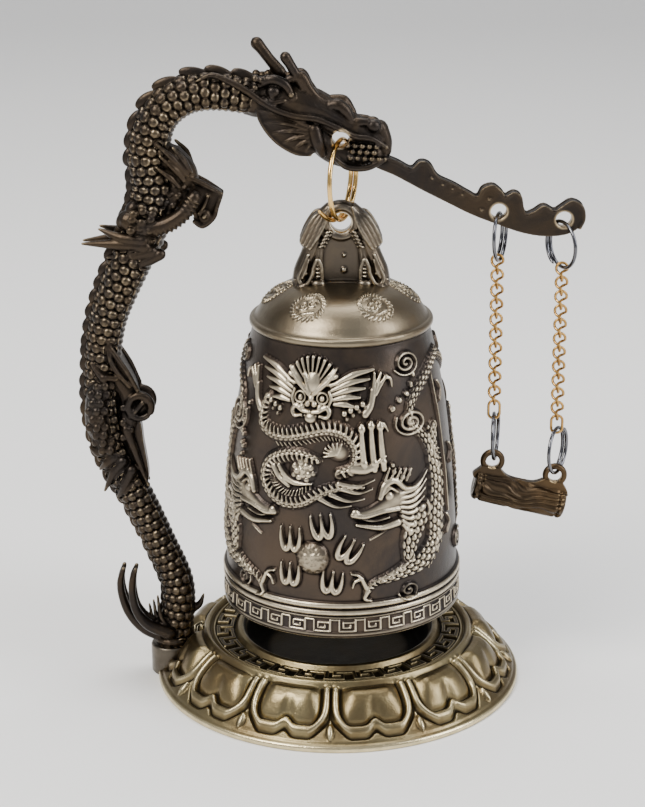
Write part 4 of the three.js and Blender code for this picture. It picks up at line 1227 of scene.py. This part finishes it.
strikerLook = {
    "x": 47.95, "z": 56.5, "tiltDeg": 13.95,      # middle between the eyes, and how the log leans
    "eye": 8.295, "hole": 1.75,                   # distance of each eye, radius of its hole
    "logDrop": 7.2, "log": 4.3, "logLength": 23.6, "logShift": 0.6,
}


def makeStriker():
    look = strikerLook
    tilt = -math.radians(look["tiltDeg"])
    c, s = math.cos(tilt), math.sin(tilt)

    def place(along, across, y=0.0):
        return (look["x"] + c * along - s * across, y, look["z"] + s * along + c * across)
    heap = newHeap()
    n, m = 140, 150
    a = np.linspace(0, 2 * math.pi, n, endpoint=False)[None, :]
    t = np.linspace(0, 1, m)[:, None]
    along = look["logShift"] + look["logLength"] * (t - 0.5)
    # long wandering ridges of bark, a groove ring near each end
    wander = 0.5 * np.sin(7 * t + 1) + 0.3 * np.sin(17 * t + 2)
    bark = np.abs(np.sin(6.5 * (a + 0.35 * wander) + 1.2 * np.sin(3 * a + 5 * t)))
    knots = 0.35 * np.sin(23 * t + 4 * np.sin(2 * a)) * np.sin(5 * a)
    ends = np.clip((0.5 - np.abs(t - 0.5)) / 0.03, 0, 1)
    collar = 0.45 * np.exp(-((np.abs(t - 0.5) - 0.44) / 0.014) ** 2)
    r = look["log"] * (0.93 + 0.03 * np.cos(math.pi * (t - 0.5)))
    r = (r - 0.62 * (1 - bark) * ends + 0.16 * knots * ends - collar) * (0.9 + 0.1 * ends)
    side = r * np.cos(a)
    up = r * np.sin(a)
    points = np.stack([np.broadcast_to(along, side.shape), side, up], -1).reshape(-1, 3)
    skin = points.reshape(m, n, 3)
    endRings = ((0.84, 0.25), (0.6, 0.12), (0.4, 0.3), (0.2, 0.2))
    left = [skin[0] * [1, k, k] + [-out, 0, 0] for k, out in endRings][::-1]
    right = [skin[-1] * [1, k, k] + [out, 0, 0] for k, out in endRings]
    grid = np.concatenate([np.stack(left), skin, np.stack(right)])
    flatPoints = np.vstack([grid.reshape(-1, 3), [[grid[0, 0, 0] - 0.05, 0, 0]],
                            [[grid[-1, 0, 0] + 0.05, 0, 0]]])
    x, _, z = place(0, -look["logDrop"])
    world = np.stack([axisX + x + c * flatPoints[:, 0] - s * flatPoints[:, 2], flatPoints[:, 1],
                      z + s * flatPoints[:, 0] + c * flatPoints[:, 2]], -1)
    tris = np.vstack([fan(len(grid) * n, 0, n, True), fan(len(grid) * n + 1, (len(grid) - 1) * n, n)])
    heapAdd(heap, world, gridQuads(len(grid), n, True), tris)
    # web with two eyes and a dip between them
    for e in (-1, 1):
        x, _, z = place(e * look["eye"], 0)
        ring = [(x + 2.35 * math.cos(t), 0, z + 2.35 * math.sin(t)) for t in np.linspace(0, 2 * math.pi, 21)]
        bar(heap, ring, [0.85], 1.15, perSpan=2)
    outline = [place(u, v) for u, v in ((-10.6, -1.6), (-10.9, -5.5), (11.4, -5.5),
                                        (10.9, -1.6), (8.9, -1.5), (6.2, -1.4), (3.6, -2.9),
                                        (0, -3.3), (-3.6, -2.9), (-6.2, -1.4), (-8.9, -1.5))]
    plate(heap, [(p[0], p[2]) for p in outline], 2.1)
    striker = fuse(heap, "strikerLog", 0.17, 1)
    holes = [place(e * look["eye"], 0) for e in (-1, 1)]
    drill(striker, [(x, z, look["hole"]) for x, _, z in holes])
    markProud(striker, 3, 14)
    return striker


# shared shader groups

def newGroup(name, inputs, outputs):
    group = bpy.data.node_groups.new(name, "ShaderNodeTree")
    for label, kind, value in inputs:
        socket = group.interface.new_socket(label, in_out="INPUT", socket_type=kind)
        socket.default_value = value
    for label, kind in outputs:
        group.interface.new_socket(label, in_out="OUTPUT", socket_type=kind)
    return group, group.nodes.new("NodeGroupInput"), group.nodes.new("NodeGroupOutput")


def put(tree, kind, settings=None, **inputs):
    # a node with its settings and its inputs, which are values or sockets to link from
    node = tree.nodes.new(kind)
    for key, value in (settings or {}).items():
        setattr(node, key, value)
    for key, value in inputs.items():
        numbered = key[0] == "i" and key[1:].isdigit()
        socket = node.inputs[int(key[1:]) if numbered else key.replace("_", " ")]
        if isinstance(value, bpy.types.NodeSocket):
            tree.links.new(value, socket)
        else:
            socket.default_value = value
    return node


def rise(tree, value, low, high):
    return put(tree, "ShaderNodeMapRange", {"interpolation_type": "SMOOTHSTEP"},
               i0=value, i1=low, i2=high).outputs[0]


def calc(tree, operation, a, b, c=None, clamp=False):
    third = {} if c is None else {"i2": c}
    return put(tree, "ShaderNodeMath", {"operation": operation, "use_clamp": clamp},
               i0=a, i1=b, **third).outputs[0]


def noise(tree, scale, detail, rough=0.55):
    place = put(tree, "ShaderNodeTexCoord").outputs["Object"]
    node = put(tree, "ShaderNodeTexNoise", None, Vector=place, Scale=scale, Detail=detail, Roughness=rough)
    return node.outputs["Fac"]


def wearGroup():
    # 1 where handling has rubbed the finish off raised places, 0 in the recesses
    group, start, end = newGroup("rubbedMask", [
        ("Edge Low", "NodeSocketFloat", 0.02), ("Edge High", "NodeSocketFloat", 0.1),
        ("Broad Low", "NodeSocketFloat", 0.0), ("Broad High", "NodeSocketFloat", 0.5),
        ("Relief Low", "NodeSocketFloat", 5.0), ("Relief High", "NodeSocketFloat", 6.0),
        ("Patchy", "NodeSocketFloat", 0.4),
    ], [("Rubbed", "NodeSocketFloat"), ("Recess", "NodeSocketFloat")])
    risen, marks = {}, {}
    for label, attribute in (("Edge", "edge"), ("Broad", "proud"), ("Relief", "relief")):
        marks[label] = put(group, "ShaderNodeAttribute", {"attribute_name": attribute}).outputs["Fac"]
        risen[label] = rise(group, marks[label], start.outputs[label + " Low"],
                            start.outputs[label + " High"])
    most = calc(group, "MAXIMUM", calc(group, "MAXIMUM", risen["Edge"], risen["Broad"]), risen["Relief"])
    patches = rise(group, noise(group, 420.0, 5.0), 0.3, 0.7)
    keep = calc(group, "SUBTRACT", 1.0, calc(group, "MULTIPLY", patches, start.outputs["Patchy"]))
    group.links.new(calc(group, "MULTIPLY", most, keep, clamp=True), end.inputs["Rubbed"])
    deep = calc(group, "MULTIPLY", marks["Broad"], -1.0)
    group.links.new(rise(group, deep, 0.03, 0.35), end.inputs["Recess"])
    return group


def castGroup():
    # the uneven skin of cast metal: broad blotches, fine grain and a few pits
    group, start, end = newGroup("castSkin", [("Blotch Scale", "NodeSocketFloat", 60.0),
                                              ("Grain Scale", "NodeSocketFloat", 1500.0)],
                                 [("Blotch", "NodeSocketFloat"), ("Grain", "NodeSocketFloat"),
                                  ("Height", "NodeSocketFloat")])
    place = put(group, "ShaderNodeTexCoord").outputs["Object"]
    blotch = put(group, "ShaderNodeTexNoise", None, Vector=place, Scale=start.outputs["Blotch Scale"],
                 Detail=5.0, Roughness=0.6, Distortion=0.6).outputs["Fac"]
    grain = put(group, "ShaderNodeTexNoise", None, Vector=place, Scale=start.outputs["Grain Scale"],
                Detail=3.0, Roughness=0.6).outputs["Fac"]
    pits = put(group, "ShaderNodeTexVoronoi", None, Vector=place, Scale=700.0).outputs["Distance"]
    pits = rise(group, pits, 0.0, 0.16)
    wavy = put(group, "ShaderNodeTexNoise", None, Vector=place, Scale=260.0, Detail=2.0).outputs["Fac"]
    height = calc(group, "MULTIPLY_ADD", pits, 0.5, calc(group, "MULTIPLY_ADD", wavy, 2.2, grain))
    group.links.new(blotch, end.inputs["Blotch"])
    group.links.new(grain, end.inputs["Grain"])
    group.links.new(height, end.inputs["Height"])
    return group


rubbedMask = wearGroup()
castSkin = castGroup()


# materials

def newMaterial(name):
    material = bpy.data.materials.new(name)
    material.use_nodes = True
    tree = material.node_tree
    tree.nodes.clear()
    shader = tree.nodes.new("ShaderNodeBsdfPrincipled")
    out = tree.nodes.new("ShaderNodeOutputMaterial")
    tree.links.new(shader.outputs[0], out.inputs[0])
    return material, tree, shader


def useGroup(tree, group, **inputs):
    node = tree.nodes.new("ShaderNodeGroup")
    node.node_tree = group
    for key, value in inputs.items():
        node.inputs[key.replace("_", " ")].default_value = value
    return node


def blendColour(tree, fac, a, b):
    node = put(tree, "ShaderNodeMix", {"data_type": "RGBA"}, i0=fac)
    for socket, value in ((node.inputs[6], a), (node.inputs[7], b)):
        if isinstance(value, bpy.types.NodeSocket):
            tree.links.new(value, socket)
        else:
            socket.default_value = (*value, 1)
    return node.outputs[2]


def blendValue(tree, fac, a, b):
    return put(tree, "ShaderNodeMapRange", None, i0=fac, i3=a, i4=b).outputs[0]


agedLook = {
    "edge": (0.03, 0.15), "broad": (0.05, 0.7), "relief": (5, 6), "patchy": 0.3,
    "rough": 0.36, "roughBare": 0.26, "blotchScale": 60.0, "grainScale": 2400.0, "bump": 0.45,
}


def agedMetal(name, look):
    # dark patina in the recesses, an even skin between, and bare metal where it is rubbed
    look = {**agedLook, **look}
    material, tree, shader = newMaterial(name)
    wear = useGroup(tree, rubbedMask, Edge_Low=look["edge"][0], Edge_High=look["edge"][1],
                    Broad_Low=look["broad"][0], Broad_High=look["broad"][1], Patchy=look["patchy"],
                    Relief_Low=look["relief"][0], Relief_High=look["relief"][1])
    cast = useGroup(tree, castSkin, Blotch_Scale=look["blotchScale"], Grain_Scale=look["grainScale"])
    skin = blendColour(tree, rise(tree, cast.outputs["Blotch"], 0.35, 0.68), look["skin"], look["skinWarm"])
    worn = blendColour(tree, wear.outputs["Rubbed"], skin, look["bare"])
    colour = blendColour(tree, wear.outputs["Recess"], worn, look["patina"])
    tree.links.new(colour, shader.inputs["Base Color"])
    rough = blendValue(tree, wear.outputs["Rubbed"], look["rough"], look["roughBare"])
    uneven = calc(tree, "MULTIPLY_ADD", cast.outputs["Blotch"], 0.16, -0.08)
    rough = calc(tree, "ADD", rough, uneven, clamp=True)
    tree.links.new(blendValue(tree, wear.outputs["Recess"], rough, 0.62), shader.inputs["Roughness"])
    shader.inputs["Metallic"].default_value = 1.0
    bumpNode = put(tree, "ShaderNodeBump", None, Height=cast.outputs["Height"],
                   Strength=look["bump"], Distance=0.00012)
    tree.links.new(bumpNode.outputs[0], shader.inputs["Normal"])
    return material


dragonMetal = {
    "patina": (0.006, 0.005, 0.004), "skin": (0.030, 0.025, 0.022), "skinWarm": (0.050, 0.036, 0.024),
    "bare": (0.58, 0.45, 0.28), "edge": (0.03, 0.15), "broad": (0.3, 0.95), "patchy": 0.55,
    "rough": 0.38, "roughBare": 0.32, "blotchScale": 70.0, "grainScale": 2200.0,
}
bellMetal = {
    "patina": (0.007, 0.005, 0.005), "skin": (0.040, 0.034, 0.031), "skinWarm": (0.076, 0.056, 0.041),
    "bare": (0.62, 0.53, 0.38), "edge": (0.07, 0.2), "broad": (0.5, 0.9), "relief": (0.68, 1.1),
    "roughBare": 0.27, "blotchScale": 45.0, "grainScale": 2600.0, "bump": 0.3,
}
domeMetal = {
    "patina": (0.016, 0.012, 0.008), "skin": (0.250, 0.208, 0.142), "skinWarm": (0.165, 0.130, 0.085),
    "bare": (0.62, 0.54, 0.40), "edge": (0.05, 0.16), "broad": (0.25, 0.7),
    "rough": 0.31, "roughBare": 0.24, "blotchScale": 55.0, "grainScale": 2600.0, "bump": 0.35,
}
baseMetal = {
    "patina": (0.014, 0.010, 0.005), "skin": (0.235, 0.190, 0.100), "skinWarm": (0.150, 0.108, 0.052),
    "bare": (0.74, 0.63, 0.38), "rough": 0.32, "roughBare": 0.22,
}
crownMetal = {
    "patina": (0.010, 0.008, 0.006), "skin": (0.085, 0.070, 0.054), "skinWarm": (0.130, 0.100, 0.068),
    "bare": (0.66, 0.57, 0.42), "edge": (0.01, 0.07), "broad": (0.08, 0.45), "patchy": 0.25,
    "rough": 0.34, "grainScale": 2600.0, "bump": 0.35,
}
bossMetal = {
    "patina": (0.020, 0.017, 0.014), "skin": (0.150, 0.130, 0.105), "skinWarm": (0.100, 0.085, 0.066),
    "bare": (0.58, 0.50, 0.38), "rough": 0.32, "blotchScale": 70.0,
}
# painted shade: a much darker skin than the rest of the base, standing in for the shade inside the sunk dish
# and under the bell
dishShadeMetal = {
    "patina": (0.008, 0.006, 0.003), "skin": (0.035, 0.027, 0.014), "skinWarm": (0.055, 0.040, 0.018),
    "bare": (0.34, 0.27, 0.15), "broad": (0.1, 0.7), "rough": 0.42, "roughBare": 0.3, "bump": 0.4,
}
strikerMetal = {
    "patina": (0.010, 0.007, 0.004), "skin": (0.050, 0.035, 0.022), "skinWarm": (0.085, 0.054, 0.028),
    "bare": (0.68, 0.50, 0.27), "edge": (0.025, 0.1), "broad": (0.06, 0.32), "patchy": 0.35,
    "blotchScale": 90.0, "grainScale": 2200.0, "bump": 0.35,
}


def plainMetal(name, bright, dull, rough, grainScale=900.0, bump=0.08):
    # drawn wire and turned steel: nearly even, with faint handling marks
    material, tree, shader = newMaterial(name)
    cast = useGroup(tree, castSkin, Blotch_Scale=180.0, Grain_Scale=grainScale)
    colour = blendColour(tree, rise(tree, cast.outputs["Blotch"], 0.3, 0.7), bright, dull)
    tree.links.new(colour, shader.inputs["Base Color"])
    roughness = blendValue(tree, cast.outputs["Blotch"], rough * 0.7, rough * 1.4)
    tree.links.new(roughness, shader.inputs["Roughness"])
    shader.inputs["Metallic"].default_value = 1.0
    bumpNode = put(tree, "ShaderNodeBump", None, Height=cast.outputs["Grain"],
                   Strength=bump, Distance=0.00005)
    tree.links.new(bumpNode.outputs[0], shader.inputs["Normal"])
    return material


def matte(name, colour):
    material, _, shader = newMaterial(name)
    shader.inputs["Base Color"].default_value = (*colour, 1)
    shader.inputs["Roughness"].default_value = 0.85
    return material


materials = {
    "dragon": agedMetal("dragonBronze", dragonMetal),
    "bell": agedMetal("bellBronze", bellMetal),
    "dome": agedMetal("domeBronze", domeMetal),
    "crown": agedMetal("crownBronze", crownMetal),
    "base": agedMetal("baseBronze", baseMetal),
    "boss": agedMetal("bossBronze", bossMetal),
    # the dish material carries painted shade for the sunk middle and the key band ground
    "dish": agedMetal("dishShadedBronze", dishShadeMetal),
    "striker": agedMetal("strikerBronze", strikerMetal),
    "goldWire": plainMetal("goldWire", (0.78, 0.52, 0.19), (0.62, 0.39, 0.13), 0.17),
    "chain": plainMetal("chainGold", (0.52, 0.31, 0.10), (0.35, 0.19, 0.06), 0.27, bump=0.15),
    "nickel": plainMetal("blackNickel", (0.15, 0.15, 0.16), (0.09, 0.09, 0.10), 0.2),
    "steel": plainMetal("screwSteel", (0.42, 0.41, 0.39), (0.30, 0.29, 0.27), 0.34),
}


def dress(obj, material, body, slot, *replaced):
    obj.data.materials.clear()
    obj.data.materials.append(material)
    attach(obj, body)
    if replaced:
        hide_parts(*replaced)


# putting it together

def paintFaces(obj, material, wanted):
    # gives a second material to the faces whose centre, in millimetres, is wanted
    obj.data.materials.append(material)
    centres = np.empty(len(obj.data.polygons) * 3)
    obj.data.polygons.foreach_get("center", centres)
    centres = centres.reshape(-1, 3) / mm
    obj.data.polygons.foreach_set("material_index", wanted(centres).astype(np.int32))


print("bell")
bell = makeBell()
dress(bell, materials["bell"], "bell", "bell_bronze", "bell")
paintFaces(bell, materials["dome"], lambda p: p[:, 2] > bellLook["wallHead"] + 0.3)
dress(makeCrown(), materials["crown"], "bell", "bell_bronze", "bell")

print("base")
lotus, boss = makeBase()
dress(lotus, materials["base"], "stand", "base_bronze", "base")
dress(boss, materials["boss"], "stand", "base_bronze", "base")


def inDish(centres):
    # the sunk middle, and the ground of the key band, which get the painted shade
    r = np.hypot(centres[:, 0] - axisX, centres[:, 1])
    return (r < 24.9) | ((r > 27.2) & (r < 32.2))


# painted shade: the dark dish material goes on the sunk middle and the key band ground
paintFaces(lotus, materials["dish"], inDish)
screw = nodes["stand_screw"]
screw.data.materials.clear()
screw.data.materials.append(materials["steel"])

print("dragon")
dress(makeDragon(), materials["dragon"], "stand", "dragon_bronze", "dragon_stand")

print("striker")
dress(makeStriker(), materials["striker"], "striker", "striker_bronze", "striker")

print("rings and chains")
look = wireLook
dress(wireRing("bellRing", bellX, boxOf("bell_ring")[1][2] - look["bellWire"], look["bellRadius"],
               look["bellWire"], -150, 400, ringTurns["bell_ring"], 1.6, -1.5),
      materials["goldWire"], "bell_ring", "gold_wire", "bell_ring")
for node, body in (("upper_ring_left", "left_ring"), ("upper_ring_right", "right_ring"),
                   ("lower_ring_left", "striker"), ("lower_ring_right", "striker")):
    low, high = boxOf(node)
    ring = wireRing(node.replace("_", "."), (low[0] + high[0]) / 2, high[2] - look["ringWire"],
                    look["ringRadius"], look["ringWire"], -65, 425, ringTurns[node])
    dress(ring, materials["nickel"], body, "black_nickel", node)
for side, count, body in (("left", 11, "left_chain"), ("right", 12, "right_chain")):
    for i in range(1, count + 1):
        node = f"link_{side}_{i:02d}"
        low, high = boxOf(node)
        wire = look["linkWire"]
        link = chainLink(f"chainLink.{side}.{i:02d}", (low[0] + high[0]) / 2, high[2] - wire,
                         (high[2] - low[2]) / 2 - wire, i == count)
        dress(link, materials["chain"], body, "chain_gold", node)


# floor, light and camera

studioLook = {
    "floor": (0.80, 0.79, 0.77), "world": 0.55,
    "lights": [   # place in metres, aim, width, height, power, colour
        ("keyPanel", (-0.62, -0.55, 0.95), (0.0, 0.0, 0.08), 0.5, 0.7, 17.0, (1.0, 0.97, 0.92)),
        ("rightPanel", (0.85, -0.30, 0.55), (0.0, 0.0, 0.07), 0.35, 0.8, 9.0, (0.95, 0.97, 1.0)),
        ("topPanel", (0.0, 0.25, 1.05), (0.0, 0.0, 0.05), 0.7, 0.5, 8.0, (1.0, 1.0, 1.0)),
    ],
}
cameraLook = {"location": (-0.8, -503.2, 248.1), "downDeg": 19.06, "rollDeg": -0.28, "lens": 93.3}


def makeStudio():
    look = studioLook
    # a floor that sweeps up behind the object
    sweep = [(-3.0, 0.0), (0.5, 0.0), (1.1, 0.0)]
    for k in range(1, 13):
        a = math.pi / 2 * k / 12
        sweep.append((1.1 + 0.8 * math.sin(a), 0.8 - 0.8 * math.cos(a)))
    sweep.append((1.9, 3.2))
    points = [(x / mm, y / mm, z / mm) for y, z in sweep for x in (-3.0, 3.0)]
    floor = buildMesh("studioFloor", points, gridQuads(len(sweep), 2, False))
    floor.data.materials.append(matte("palePaper", look["floor"]))
    world = bpy.data.worlds.new("studio")
    bpy.context.scene.world = world
    world.use_nodes = True
    back = world.node_tree.nodes["Background"]
    back.inputs[0].default_value = (0.9, 0.93, 1.0, 1)
    back.inputs[1].default_value = look["world"]
    for name, place, aim, width, height, power, colour in look["lights"]:
        data = bpy.data.lights.new(name, "AREA")
        data.shape = "RECTANGLE"
        data.size = width
        data.size_y = height
        data.energy = power
        data.color = colour
        lamp = bpy.data.objects.new(name, data)
        lamp.location = place
        lamp.rotation_euler = (Vector(aim) - Vector(place)).to_track_quat("-Z", "Y").to_euler()
        bpy.context.scene.collection.objects.link(lamp)


def makeCamera():
    look = cameraLook
    data = bpy.data.cameras.new("camera")
    data.lens = look["lens"]
    data.sensor_width = 36
    data.clip_start = 0.01
    camera = bpy.data.objects.new("camera", data)
    camera.matrix_world = (Matrix.Translation(Vector(look["location"]) * mm)
                           @ Matrix.Rotation(math.radians(90 - look["downDeg"]), 4, "X")
                           @ Matrix.Rotation(math.radians(look["rollDeg"]), 4, "Z"))
    bpy.context.scene.collection.objects.link(camera)
    bpy.context.scene.camera = camera


print("studio")
makeStudio()
makeCamera()
